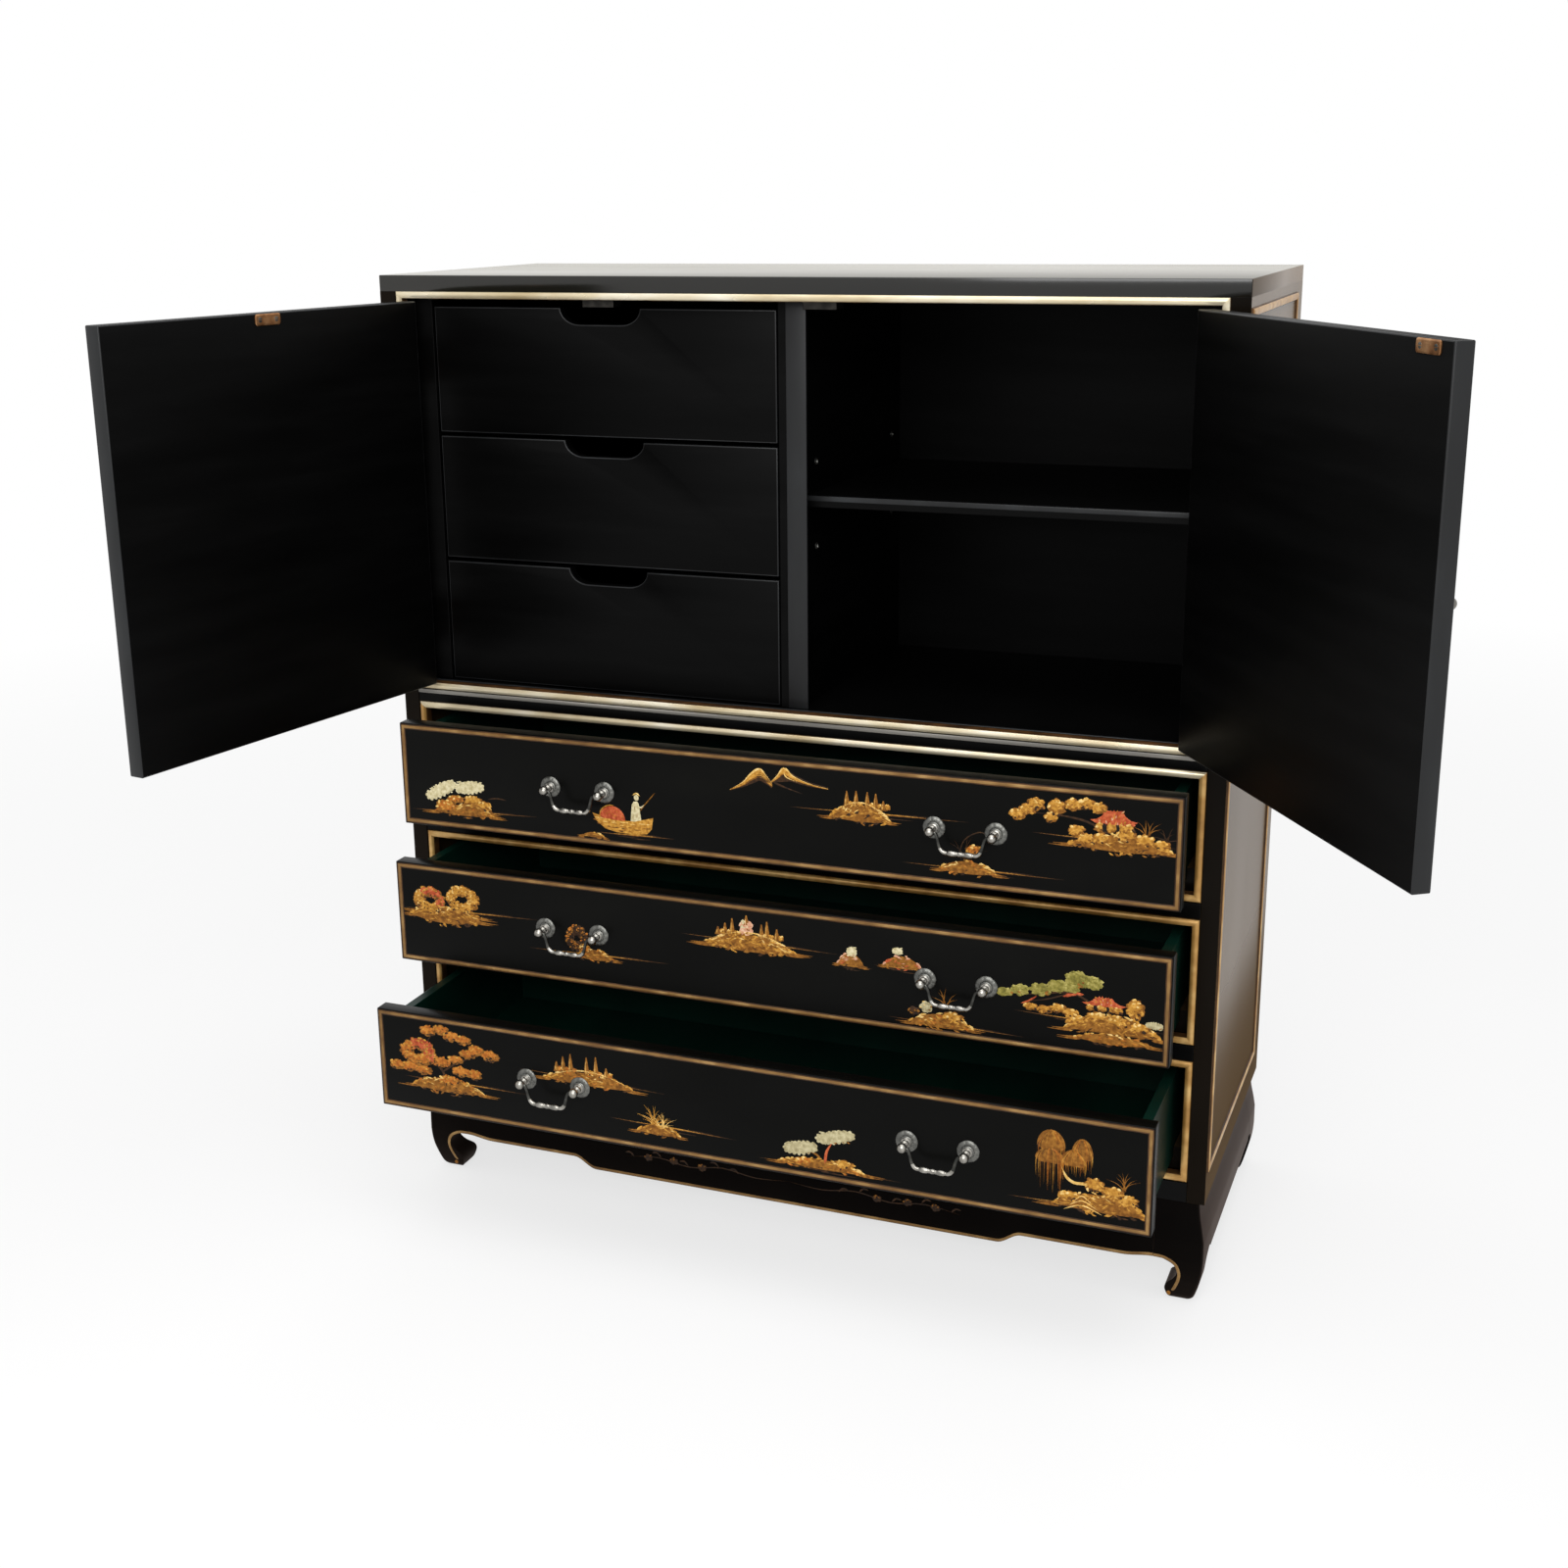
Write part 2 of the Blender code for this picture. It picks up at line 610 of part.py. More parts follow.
def bail_curve(name):
    """The bail as a bent rod about its pivot line: pins, two bends on each side, and a beaded grip."""
    run = BAIL_DROP - BAIL_TOP_BEND - BAIL_FOOT_BEND
    grip = BAIL_HALF - BAIL_FOOT_BEND
    left = [(-HANDLE_SPACING / 2 + BAIL_BORE_CLEAR, 0.0, BAIL_PIN_RADIUS)]
    for i in range(ARC_STEPS + 1):
        turn = math.radians(90) * i / ARC_STEPS
        x = -BAIL_HALF - BAIL_TOP_BEND * (1 - math.sin(turn))
        left.append((x, -BAIL_TOP_BEND * (1 - math.cos(turn)), BAIL_PIN_RADIUS))
    for i in range(ARC_STEPS + 1):
        turn = math.radians(90) * i / ARC_STEPS
        x = -BAIL_HALF + BAIL_FOOT_BEND * (1 - math.cos(turn))
        left.append((x, -BAIL_TOP_BEND - run - BAIL_FOOT_BEND * math.sin(turn), BAIL_RADIUS))
    beads = []
    steps = 2 * BAIL_BEADS
    for i in range(1, steps):
        swell = BEAD_SWELL if i % 2 else 0.0
        beads.append((-grip + 2 * grip * i / steps, -BAIL_DROP, BAIL_RADIUS + swell))
    route = left + beads + [(-x, z, radius) for x, z, radius in reversed(left)]
    curve = bpy.data.curves.new(name, "CURVE")
    curve.dimensions = "3D"
    curve.bevel_depth = 1.0
    curve.bevel_resolution = 2
    curve.use_fill_caps = True
    spline = curve.splines.new("POLY")
    spline.points.add(len(route) - 1)
    for point, (x, z, radius) in zip(spline.points, route):
        point.co = (x, 0, z, 1)
        point.radius = radius
    return curve


def add_handle(front, body, x, z, name):
    """A bail handle on a front at y = 0: two posts joined to it, and a bail with its origin on the pivot."""
    for place, mesh, side in (("left", POST, -1), ("right", POST_TURNED, 1)):
        middle = (x + side * HANDLE_SPACING / 2, 0, z)
        post = add(f"{name}_{place}_post", mesh, middle, None, body, CUTTERS)
        boolean(front, post, "UNION")
    helper = bpy.data.objects.new(name, bail_curve(name))
    bpy.context.scene.collection.objects.link(helper)
    bail = add(name, frozen(helper, name), (x, -PIVOT_OUT, z), PEWTER, body)
    bail.data.shade_smooth()


def build_wide_drawer(row):
    """A wide drawer: a lacquered front with two bail handles, and its box behind."""
    label = WIDE_NAMES[row]
    body = empty(f"{label}_drawer_slide", (0, 0, wide_front_levels(row)[0]), ROOT)
    low, high = wide_front_levels(row)
    front = board(f"{label}_drawer_front", (-FRONT_HALF, 0, low),
                  (FRONT_HALF, FRONT_THICK, high), LACQUER, body)
    middle = (low + high) / 2 + HANDLE_RISE
    for place, side in (("left", -1), ("right", 1)):
        add_handle(front, body, side * HANDLE_X, middle, f"{label}_drawer_{place}_bail")
    start = FRONT_THICK + SEAM
    build_box(f"{label}_drawer_box", body, (-BOX_HALF, start, low + BOX_RAISE),
              (BOX_HALF, start + BOX_LENGTH, high - BOX_DROP), BOX_WALL, GREEN)
    body.location.y -= WIDE_OUT[row]


def build_box(name, body, low, high, wall, material):
    """A drawer's box: two sides, a back and a raised bottom; the front closes its open end."""
    target = board(name, low, high, material, body)
    bottom = low[2] + 2 * BOX_BOTTOM
    inside = board(f"{name}_inside", (low[0] + wall, low[1] - wall, bottom),
                   (high[0] - wall, high[1] - wall, high[2] + wall), None, body, 0, CUTTERS)
    under = board(f"{name}_under", (low[0] + wall, low[1] - wall, low[2] - wall),
                  (high[0] - wall, high[1] - wall, low[2] + BOX_BOTTOM), None, body, 0, CUTTERS)
    for cutter in (inside, under):
        boolean(target, cutter, "DIFFERENCE")


def build_inner_drawer(row):
    """A drawer behind the left door: a plain front with a finger notch in its top edge, and its box."""
    label = INNER_NAMES[row]
    low, high = inner_front_levels(row)
    body = empty(f"inner_{label}_drawer_slide", (0, 0, low), ROOT)
    middle = (INNER_EDGE + INNER_FREE) / 2
    half = (INNER_FREE - INNER_EDGE) / 2
    notch = ramp((NOTCH_WIDTH / 2, high), (NOTCH_FLAT / 2, high - NOTCH_DEPTH), RAMP_STEPS)
    notch += [(NOTCH_FLAT / 2, high - NOTCH_DEPTH)]
    notch += ramp((-NOTCH_FLAT / 2, high - NOTCH_DEPTH), (-NOTCH_WIDTH / 2, high), RAMP_STEPS)
    loop = [(-half, low), (half, low), (half, high)] + notch + [(-NOTCH_WIDTH / 2, high), (-half, high)]
    name = f"inner_{label}_drawer_front"
    mesh = outline_mesh(name, [loop], INNER_THICK, "y")
    add(name, mesh, (middle, INNER_SET + INNER_THICK / 2, 0), INTERIOR, body)
    start = INNER_SET + INNER_THICK + SEAM
    build_box(f"inner_{label}_drawer_box", body, (INNER_EDGE + RUNNER_CLEAR, start, low + INNER_RAISE),
              (INNER_FREE - RUNNER_CLEAR, start + INNER_LENGTH, high - INNER_DROP), INNER_WALL, INTERIOR)


def knuckle(name, body, x, low, high, radius):
    """An upright barrel on the hinge's pin line."""
    mesh = rod_mesh(name, radius, high - low)
    mesh.transform(Matrix.Rotation(math.radians(90), 4, "Y"))
    return add(name, mesh, (x, PIN_Y, (low + high) / 2), None, body, CUTTERS)


def build_hinge(name, side, body, middle):
    """A butt hinge: the frame leaf has the outer knuckles and the pin, the door leaf the middle knuckle."""
    low, high = middle - HINGE_HEIGHT / 2, middle + HINGE_HEIGHT / 2
    third = HINGE_HEIGHT / 3
    plate_y = PIN_Y + KNUCKLE_RADIUS + 2 * KNUCKLE_GAP
    pin_x = side * PIN_X
    spans = {
        "frame": sorted((side * (BEAD_FACE - SEAM), side * (BEAD_FACE - SEAM - LEAF_THICK))),
        "door": sorted((side * (DOOR_EDGE + SEAM), side * (DOOR_EDGE + SEAM + LEAF_THICK))),
    }
    barrels = {
        "frame": ((low, low + third), (high - third, high)),
        "door": ((low + third + KNUCKLE_GAP, high - third - KNUCKLE_GAP),),
    }
    for leaf, carrier in (("frame", ROOT), ("door", body)):
        start, end = spans[leaf]
        target = board(f"{name}_{leaf}_leaf", (start, plate_y, low),
                       (end, BEAD_DEPTH, high), BRASS, carrier)
        for i, (foot, head) in enumerate(barrels[leaf]):
            tab = board(f"{name}_{leaf}_tab_{i}", (start, PIN_Y, foot), (end, plate_y + LEAF_THICK, head),
                        None, carrier, 0, CUTTERS)
            barrel = knuckle(f"{name}_{leaf}_knuckle_{i}", carrier, pin_x, foot, head, KNUCKLE_RADIUS)
            boolean(target, tab, "UNION")
            boolean(target, barrel, "UNION")
        if leaf == "frame":
            pin = knuckle(f"{name}_pin", carrier, pin_x, low + third / 2, high - third / 2, PIN_RADIUS)
            boolean(target, pin, "UNION")
        else:
            bore = knuckle(f"{name}_bore", carrier, pin_x, low, high, PIN_RADIUS + PIN_CLEAR)
            boolean(target, bore, "DIFFERENCE")


def build_door(label, side, open_deg, catch_x):
    """A door on its two hinges, with its bail handle and strike plate, and the catch above it."""
    body = empty(f"{label}_door_pivot", (side * PIN_X, PIN_Y, DOOR_LOW), ROOT)
    spans = sorted((side * DOOR_EDGE, side * DOOR_FREE))
    door = board(f"{label}_door", (spans[0], 0, DOOR_LOW), (spans[1], DOOR_THICK, DOOR_HIGH), LACQUER, body)
    handle_x = side * (DOOR_FREE + DOOR_HANDLE_EDGE + HANDLE_SPACING / 2)
    add_handle(door, body, handle_x, DOOR_LOW + DOOR_HANDLE_HEIGHT, f"{label}_door_bail")
    for place, middle in (("upper", DOOR_HIGH - HINGE_FROM_END), ("lower", DOOR_LOW + HINGE_FROM_END)):
        build_hinge(f"{label}_{place}_hinge", side, body, middle)
    strike_top = DOOR_HIGH - STRIKE_FROM_TOP
    strike_low = strike_top - STRIKE_HEIGHT
    board(f"{label}_strike_plate", (catch_x - STRIKE_WIDTH / 2, DOOR_THICK + SEAM, strike_low),
          (catch_x + STRIKE_WIDTH / 2, STRIKE_FACE, strike_top), BRASS, body)
    catch_face = STRIKE_FACE + SEAM
    board(f"{label}_catch", (catch_x - CATCH_WIDTH / 2, catch_face, CATCH_LOW),
          (catch_x + CATCH_WIDTH / 2, catch_face + CATCH_DEPTH, CEILING_LOW - SEAM), BRASS, ROOT)
    body.rotation_euler.z = side * math.radians(open_deg)


def stand_on_origin():
    """Moves the dresser so that the origin is on the floor under its middle, as it stands open."""
    bpy.context.view_layer.update()
    graph = bpy.context.evaluated_depsgraph_get()
    corners = []
    for item in PARTS.objects:
        if item.type == "MESH":
            solid = item.evaluated_get(graph)
            corners += [solid.matrix_world @ vertex.co for vertex in solid.data.vertices]
    for axis in (0, 1):
        values = [corner[axis] for corner in corners]
        ROOT.location[axis] = -(min(values) + max(values)) / 2


def build():
    """The whole dresser."""
    build_boards()
    build_side("left_side", -1)
    build_side("right_side", 1)
    build_cupboard_walls()
    build_bead("door_bead", DOOR_BAY_LOW, DOOR_BAY_HIGH)
    for row in range(WIDE_COUNT):
        build_bead(f"{WIDE_NAMES[row]}_drawer_bead", *wide_bay(row))
        build_wide_drawer(row)
    for row in range(INNER_COUNT):
        build_inner_drawer(row)
    build_door("left", -1, LEFT_OPEN_DEG, CATCH_LEFT_X)
    build_door("right", 1, RIGHT_OPEN_DEG, CATCH_RIGHT_X)
    build_base()
    stand_on_origin()


build()
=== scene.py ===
"""The looks of the black lacquer dresser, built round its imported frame.

Metres, +Z up, and the front faces -Y. Painted ornament is laid out in millimetres on the face that carries it.
Each sub-assembly is a class that builds its pieces, dresses them and hangs them on the frame's bodies.
"""

import json
import logging
import math
import random
from dataclasses import dataclass, field, replace
from enum import Enum
from typing import Callable, Sequence

import bmesh
import bpy
from mathutils import Matrix, Vector


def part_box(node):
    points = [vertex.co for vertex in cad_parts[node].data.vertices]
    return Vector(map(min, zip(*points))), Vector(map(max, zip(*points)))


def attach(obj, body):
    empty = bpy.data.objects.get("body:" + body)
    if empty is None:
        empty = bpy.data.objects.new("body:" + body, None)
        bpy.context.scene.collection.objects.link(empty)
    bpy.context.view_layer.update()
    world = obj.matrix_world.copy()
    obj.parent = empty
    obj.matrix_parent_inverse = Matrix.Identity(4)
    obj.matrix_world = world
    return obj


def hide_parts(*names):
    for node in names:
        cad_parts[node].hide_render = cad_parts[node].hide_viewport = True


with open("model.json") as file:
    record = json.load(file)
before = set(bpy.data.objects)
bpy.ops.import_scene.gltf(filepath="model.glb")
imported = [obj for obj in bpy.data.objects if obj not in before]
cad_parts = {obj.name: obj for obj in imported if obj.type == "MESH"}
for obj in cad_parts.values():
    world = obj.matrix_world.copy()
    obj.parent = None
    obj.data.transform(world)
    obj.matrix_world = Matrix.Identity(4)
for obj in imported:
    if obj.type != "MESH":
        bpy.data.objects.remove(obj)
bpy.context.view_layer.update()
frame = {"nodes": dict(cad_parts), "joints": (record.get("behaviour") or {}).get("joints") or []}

Colour = tuple[float, float, float]
Point = tuple[float, float]
Stops = tuple[tuple[float, Colour], ...]
Socket = bpy.types.NodeSocket

LOG = logging.getLogger("lacquer_dresser")
MM = 0.001
SEAM = 0.0003
# Heights between which the polish of the sides goes from worn to bright.
WORN_LEVELS = (0.15, 0.38)
# The least share of a normal along one axis on a flat face.
FLAT = 0.99
EDGE_CREASE = 40.0
CORNER_STEPS = 4
FITTING_ROUNDING = 0.0008
DRAWER_SEED, DOOR_SEED, VINE_SEED = 11, 31, 5
# The width in millimetres of the gold line on doors and drawers.
LINE_WIDTH = 5.6


def linear(red: int, green: int, blue: int) -> Colour:
    """A colour from 0 to 255 in linear light."""
    values = (red, green, blue)
    return tuple(((value / 255 + 0.055) / 1.055) ** 2.4 if value > 10 else value / 3294.6 for value in values)


def shades(places: Colour, *colours: tuple[int, int, int]) -> Stops:
    """Colours from 0 to 255, dark to light, at places along a pattern, in linear light."""
    return tuple((place, linear(*colour)) for place, colour in zip(places, colours))


def clamp(value: float, low: float = 0.0, high: float = 1.0) -> float:
    """A value kept between two ends."""
    return min(max(value, low), high)


class Slot(Enum):
    """The record's material slots."""

    LACQUER = "black_lacquer"
    INSIDE = "satin_black_inside"
    GREEN = "dark_green_drawer_inside"
    GILT = "gilt_bead"
    PEWTER = "pewter_handle"
    BRASS = "brass_hardware"


class Tree:
    """The nodes of a material or of the background."""

    def __init__(self, tree: bpy.types.NodeTree) -> None:
        """Takes up a tree's nodes and links."""
        self.nodes, self.links = tree.nodes, tree.links

    def feed(self, socket: Socket, value: object) -> None:
        """Gives an input a value, or joins it to an output.

        Args:
            socket: The input.
            value: The value or the output.
        """
        if isinstance(value, Socket):
            self.links.new(value, socket)
        else:
            socket.default_value = value

    def add(self, kind: str, inputs: dict[str | int, object], out: str, operation: str = "") -> Socket:
        """Adds a node.

        Args:
            kind: Its kind.
            inputs: Its inputs, each with a value or with the output that feeds it.
            out: The output that is wanted.
            operation: What a mathematical node does, if it doesn't add.

        Returns:
            The output.
        """
        node = self.nodes.new(f"ShaderNode{kind}")
        if operation:
            node.operation = operation
        for key, value in inputs.items():
            self.feed(node.inputs[key], value)
        return node.outputs[out]

    def spread(self, amount: Socket, span: Point, low: float, high: float) -> Socket:
        """A value brought from the range that it spans to one from low to high."""
        ends = {"From Min": span[0], "From Max": span[1], "To Min": low, "To Max": high}
        return self.add("MapRange", {"Value": amount, **ends}, "Result")

    def seen_rays(self) -> Socket:
        """A value of 1 for rays from the camera, from mirrors and through glass.

        Returns:
            The output with the value.
        """
        path = self.nodes.new("ShaderNodeLightPath").outputs
        seen = path["Is Camera Ray"]
        for ray in ("Is Glossy Ray", "Is Transmission Ray"):
            seen = self.add("Math", {0: seen, 1: path[ray]}, "Value", "MAXIMUM")
        return seen


class Recipe(Tree):
    """A node material being made: its shader, and the texture steps that the finishes share."""

    def __init__(self, name: str) -> None:
        """Starts a material.

        Args:
            name: Its name.
        """
        self.material = bpy.data.materials.new(name)
        self.material.use_nodes = True
        super().__init__(self.material.node_tree)
        self.shader = self.nodes["Principled BSDF"]
        self.place = self.nodes.new("ShaderNodeTexCoord").outputs["Object"]

    def set(self, key: str, value: object) -> None:
        """Sets or feeds an input of the shader."""
        self.feed(self.shader.inputs[key], value)

    def noise(self, scale: float, stretch: Colour = (1.0, 1.0, 1.0), detail: float = 4.0) -> Socket:
        """A cloudy pattern fixed to the piece, with about so many clouds in a metre, finer where it is stretched."""
        place = self.add("Mapping", {"Vector": self.place, "Scale": stretch}, "Vector")
        return self.add("TexNoise", {"Vector": place, "Scale": scale, "Detail": detail}, "Fac")

    def colour(self, amount: Socket, stops: Stops) -> None:
        """Colours the surface by a pattern.

        Args:
            amount: The pattern's value.
            stops: Places along the pattern's range, with their colours.
        """
        tint = self.add("ValToRGB", {"Fac": amount}, "Color")
        elements = tint.node.color_ramp.elements
        while len(elements) < len(stops):
            elements.new(0.5)
        for element, (place, shade) in zip(elements, stops):
            element.position = place
            element.color = (*shade, 1.0)
        self.set("Base Color", tint)

    def gloss(self, amount: Socket, low: float, high: float, wear: float = 0.0) -> None:
        """Spreads the roughness over a range by a pattern.

        Args:
            amount: The pattern's value.
            low: The least roughness.
            high: The most roughness.
            wear: How much rougher the case is near the floor than at its waist.
        """
        rough = self.spread(amount, (0.3, 0.7), low, high)
        if wear:
            level = self.add("SeparateXYZ", {"Vector": self.place}, "Z")
            worn = self.spread(level, WORN_LEVELS, wear, 0.0)
            worn.node.interpolation_type = "SMOOTHERSTEP"
            rough = self.add("Math", {0: rough, 1: worn}, "Value")
        self.set("Roughness", rough)

    def ripple(self, amount: Socket, strength: float, depth: float) -> None:
        """Gives the surface a fine unevenness, whose depth is in metres."""
        self.set("Normal", self.add("Bump", {"Strength": strength, "Distance": depth, "Height": amount}, "Normal"))


@dataclass(frozen=True)
class Finish:
    """A surface finish: mottled colour, uneven gloss and a fine relief."""

    name: str
    slot: Slot
    stops: Stops
    mottle: float
    rough: tuple[float, float]
    stretch: Colour = (1.0, 1.0, 1.0)
    metal: float = 0.0
    shine: float = 0.5
    grit: float = 300.0
    grit_strength: float = 0.05
    grit_depth: float = 0.0004
    bloom: float = 0.0
    bloom_tint: Colour = (1.0, 1.0, 1.0)
    wear: float = 0.0

    def material(self) -> bpy.types.Material:
        """The finish as a Blender material, made once.

        Returns:
            The material.
        """
        found = bpy.data.materials.get(self.name)
        if found:
            return found
        recipe = Recipe(self.name)
        recipe.set("Metallic", self.metal)
        recipe.set("Specular IOR Level", self.shine)
        recipe.set("Sheen Weight", self.bloom)
        recipe.set("Sheen Tint", (*self.bloom_tint, 1.0))
        recipe.colour(recipe.noise(self.mottle, self.stretch), self.stops)
        recipe.gloss(recipe.noise(self.mottle * 0.4, self.stretch, 6.0), *self.rough, self.wear)
        recipe.ripple(recipe.noise(self.grit, self.stretch), self.grit_strength, self.grit_depth)
        return recipe.material


DEEP = (0.30, 0.55, 0.75)
BRIGHT = (0.28, 0.50, 0.72)
PAINTED = (0.32, 0.50, 0.68)
LACQUER = Finish(
    "polished_black_lacquer", Slot.LACQUER, shades(DEEP, (3, 3, 3), (5, 5, 5), (9, 8, 7)), 9.0, (0.16, 0.30),
    stretch=(1.0, 1.0, 0.35), shine=0.07, grit=160.0, grit_strength=0.04,
)
BASE_LACQUER = replace(
    LACQUER, name="base_black_lacquer", rough=(0.34, 0.48), shine=0.010, bloom=0.10, bloom_tint=(0.95, 0.62, 0.48),
)
FRONT_LACQUER = Finish(
    "charcoal_front_lacquer", Slot.LACQUER, shades(DEEP, (6, 6, 5), (8, 8, 7), (11, 11, 9)), 14.0, (0.24, 0.40),
    stretch=(0.5, 1.0, 1.0), shine=0.06, grit=220.0,
)
SIDE_LACQUER = replace(
    LACQUER, name="warm_side_lacquer", stops=shades(DEEP, (6, 5, 4), (10, 8, 6), (16, 12, 9)), mottle=7.0,
    rough=(0.20, 0.28), stretch=(1.0, 1.0, 0.30), shine=0.050, bloom=0.13, bloom_tint=(1.0, 0.58, 0.22), wear=0.54,
)
TOP_LACQUER = Finish(
    "top_panel_lacquer", Slot.LACQUER, shades(DEEP, (8, 8, 7), (12, 12, 11), (17, 16, 15)), 9.0, (0.10, 0.20),
    stretch=(0.4, 1.0, 1.0), grit=160.0, grit_strength=0.03, grit_depth=0.0003,
    bloom=0.12, bloom_tint=(1.0, 0.86, 0.46),
)
SATIN = Finish(
    "satin_black_board", Slot.INSIDE, shades(DEEP, (2, 2, 2), (4, 4, 4), (7, 7, 7)), 5.0, (0.34, 0.50),
    stretch=(1.0, 1.0, 9.0), shine=0.06, grit=28.0, grit_strength=0.10, grit_depth=0.0006,
)
# Lighter grey satin for the edges of the door slabs, the inner drawer fronts, the shelf, the divider and the cupboard
# sill: a painted highlight where light catches the edges.
SATIN_EDGE_HIGHLIGHT = Finish(
    "rubbed_satin_edge", Slot.INSIDE, shades(DEEP, (20, 20, 21), (30, 31, 32), (44, 46, 48)), 16.0, (0.30, 0.46),
    stretch=(1.0, 1.0, 0.25), shine=0.25, grit=120.0, grit_strength=0.08,
)
GREEN = Finish(
    "dark_green_drawer_lining", Slot.GREEN, shades(DEEP, (3, 26, 20), (6, 36, 28), (10, 46, 36)), 7.0, (0.30, 0.46),
    stretch=(1.0, 0.3, 1.0), shine=0.14, grit=60.0, grit_strength=0.08, grit_depth=0.0005,
)
GILT = Finish(
    "burnished_gilt", Slot.GILT, shades(BRIGHT, (146, 104, 50), (182, 138, 74), (214, 176, 112)), 42.0, (0.26, 0.44),
    metal=0.40, grit=500.0, grit_strength=0.10, grit_depth=0.0003,
)
# A paler, whiter copy of the gilt: a painted highlight, for the door bead and the top leg of the upper drawer's bead,
# where the light from above and in front falls.
PALE_GILT_HIGHLIGHT = replace(
    GILT, name="worn_pale_gilt", stops=shades(BRIGHT, (184, 164, 124), (214, 200, 168), (236, 229, 210)),
    rough=(0.20, 0.36), stretch=(0.3, 1.0, 1.0), shine=0.6,
)
# Light grey on the black lacquer of the waist rail's lip: a painted reflection of the lamps along the sill.
SILL_REFLECTION = Finish(
    "gleaming_sill_edge", Slot.LACQUER, shades(BRIGHT, (78, 76, 72), (122, 119, 113), (172, 168, 160)), 30.0,
    (0.24, 0.38), stretch=(0.12, 1.0, 6.0), shine=0.4, grit_strength=0.06, grit_depth=0.0003,
)
LINE_GOLD = replace(
    GILT, name="brown_gold_line", stops=shades(BRIGHT, (102, 71, 34), (132, 98, 52), (168, 133, 82)),
    mottle=36.0, rough=(0.34, 0.52), metal=0.20, shine=0.3,
)
# Dark brown gilt: painted shade on the flanks and backs of the half-round beads, and the darker edges of the painted
# gold lines.
GILT_EDGE_AND_SHADE = replace(
    GILT, name="darkened_gilt_edge", stops=shades(BRIGHT, (44, 27, 12), (66, 42, 19), (92, 60, 30)),
    mottle=60.0, rough=(0.40, 0.60), metal=0.10, shine=0.25, grit=600.0,
)
PEWTER = Finish(
    "dark_polished_pewter", Slot.PEWTER, shades(BRIGHT, (72, 72, 70), (104, 104, 100), (140, 139, 133)), 90.0,
    (0.32, 0.46), metal=1.0, grit=500.0, grit_strength=0.06, grit_depth=0.0003,
)
# A lighter copy of the pewter, for the ball posts and the bail's grip and bend.
BRIGHT_PEWTER = replace(
    PEWTER, name="worn_bright_pewter", stops=shades(BRIGHT, (104, 102, 97), (142, 139, 132), (182, 179, 171)),
    rough=(0.20, 0.34),
)
# A darker copy of the pewter, for the bail's arms.
DULL_PEWTER = replace(
    PEWTER, name="tarnished_pewter", stops=shades(BRIGHT, (46, 46, 44), (66, 66, 63), (92, 91, 86)), rough=(0.28, 0.42),
)
BRASS = Finish(
    "aged_brass", Slot.BRASS, shades(BRIGHT, (112, 74, 44), (160, 112, 72), (196, 150, 106)), 90.0, (0.28, 0.46),
    metal=0.85, grit=500.0, grit_strength=0.10, grit_depth=0.0003,
)
DARK_BRASS = replace(
    BRASS, name="blackened_brass", stops=shades(BRIGHT, (30, 28, 26), (48, 46, 43), (70, 67, 62)),
    rough=(0.30, 0.50), metal=0.80,
)


class Paint(Enum):
    """The raised paints of the ornament, each with its dark, middle and light tone."""

    GOLD = ((150, 100, 34), (186, 132, 50), (212, 160, 74))
    PALE = ((196, 150, 74), (222, 182, 104), (240, 208, 140))
    OCHRE = ((104, 64, 20), (134, 86, 30), (160, 108, 42))
    ORANGE = ((146, 80, 24), (176, 104, 34), (198, 130, 50))
    UMBER = ((34, 21, 10), (52, 32, 15), (74, 47, 23))
    INK = ((12, 10, 8), (20, 15, 12), (28, 20, 14))
    RED = ((142, 54, 26), (178, 80, 44), (198, 108, 66))
    CREAM = ((176, 163, 120), (203, 191, 150), (222, 212, 176))
    BONE = ((150, 138, 102), (178, 167, 128), (198, 188, 150))
    GREEN = ((100, 94, 38), (132, 123, 54), (160, 148, 80))
    PINK = ((172, 112, 84), (204, 150, 118), (224, 186, 156))
    LEAF = ((126, 118, 54), (156, 146, 76), (182, 170, 98))

    def finish(self) -> Finish:
        """The paint as a finish.

        Returns:
            A satin finish, with some metal in the golds.
        """
        golden = self in (Paint.GOLD, Paint.PALE, Paint.OCHRE)
        return Finish(
            f"raised_{self.name.lower()}_paint", Slot.GILT, shades(PAINTED, *self.value), 260.0, (0.36, 0.54),
            metal=0.20 if golden else 0.0, shine=0.16, grit=900.0, grit_strength=0.15, grit_depth=0.0003,
        )


PAINTS = list(Paint)
Tones = tuple[Paint, ...]
GILDED: Tones = (Paint.UMBER, Paint.OCHRE, Paint.GOLD, Paint.GOLD, Paint.PALE)
AMBER: Tones = (Paint.UMBER, Paint.OCHRE, Paint.ORANGE, Paint.GOLD, Paint.PALE)
AUTUMN: Tones = (Paint.UMBER, Paint.OCHRE, Paint.ORANGE, Paint.ORANGE, Paint.GOLD)
RUSSET: Tones = (Paint.UMBER, Paint.OCHRE, Paint.RED, Paint.RED, Paint.GOLD)
ROOF: Tones = (Paint.RED, Paint.RED, Paint.RED, Paint.ORANGE, Paint.PINK, Paint.GOLD)
DUSKY: Tones = (Paint.INK, Paint.UMBER, Paint.UMBER, Paint.OCHRE, Paint.ORANGE)
PINE: Tones = (Paint.OCHRE, Paint.GREEN, Paint.GREEN, Paint.GREEN, Paint.LEAF, Paint.LEAF)
ROSY: Tones = (Paint.UMBER, Paint.OCHRE, Paint.RED, Paint.PINK, Paint.PINK)
BLUSH: Tones = (Paint.OCHRE, Paint.PINK, Paint.PINK, Paint.CREAM)
IVORY: Tones = (Paint.OCHRE, Paint.BONE, Paint.CREAM, Paint.CREAM)
CHALK: Tones = (Paint.OCHRE, Paint.OCHRE, Paint.BONE, Paint.BONE)


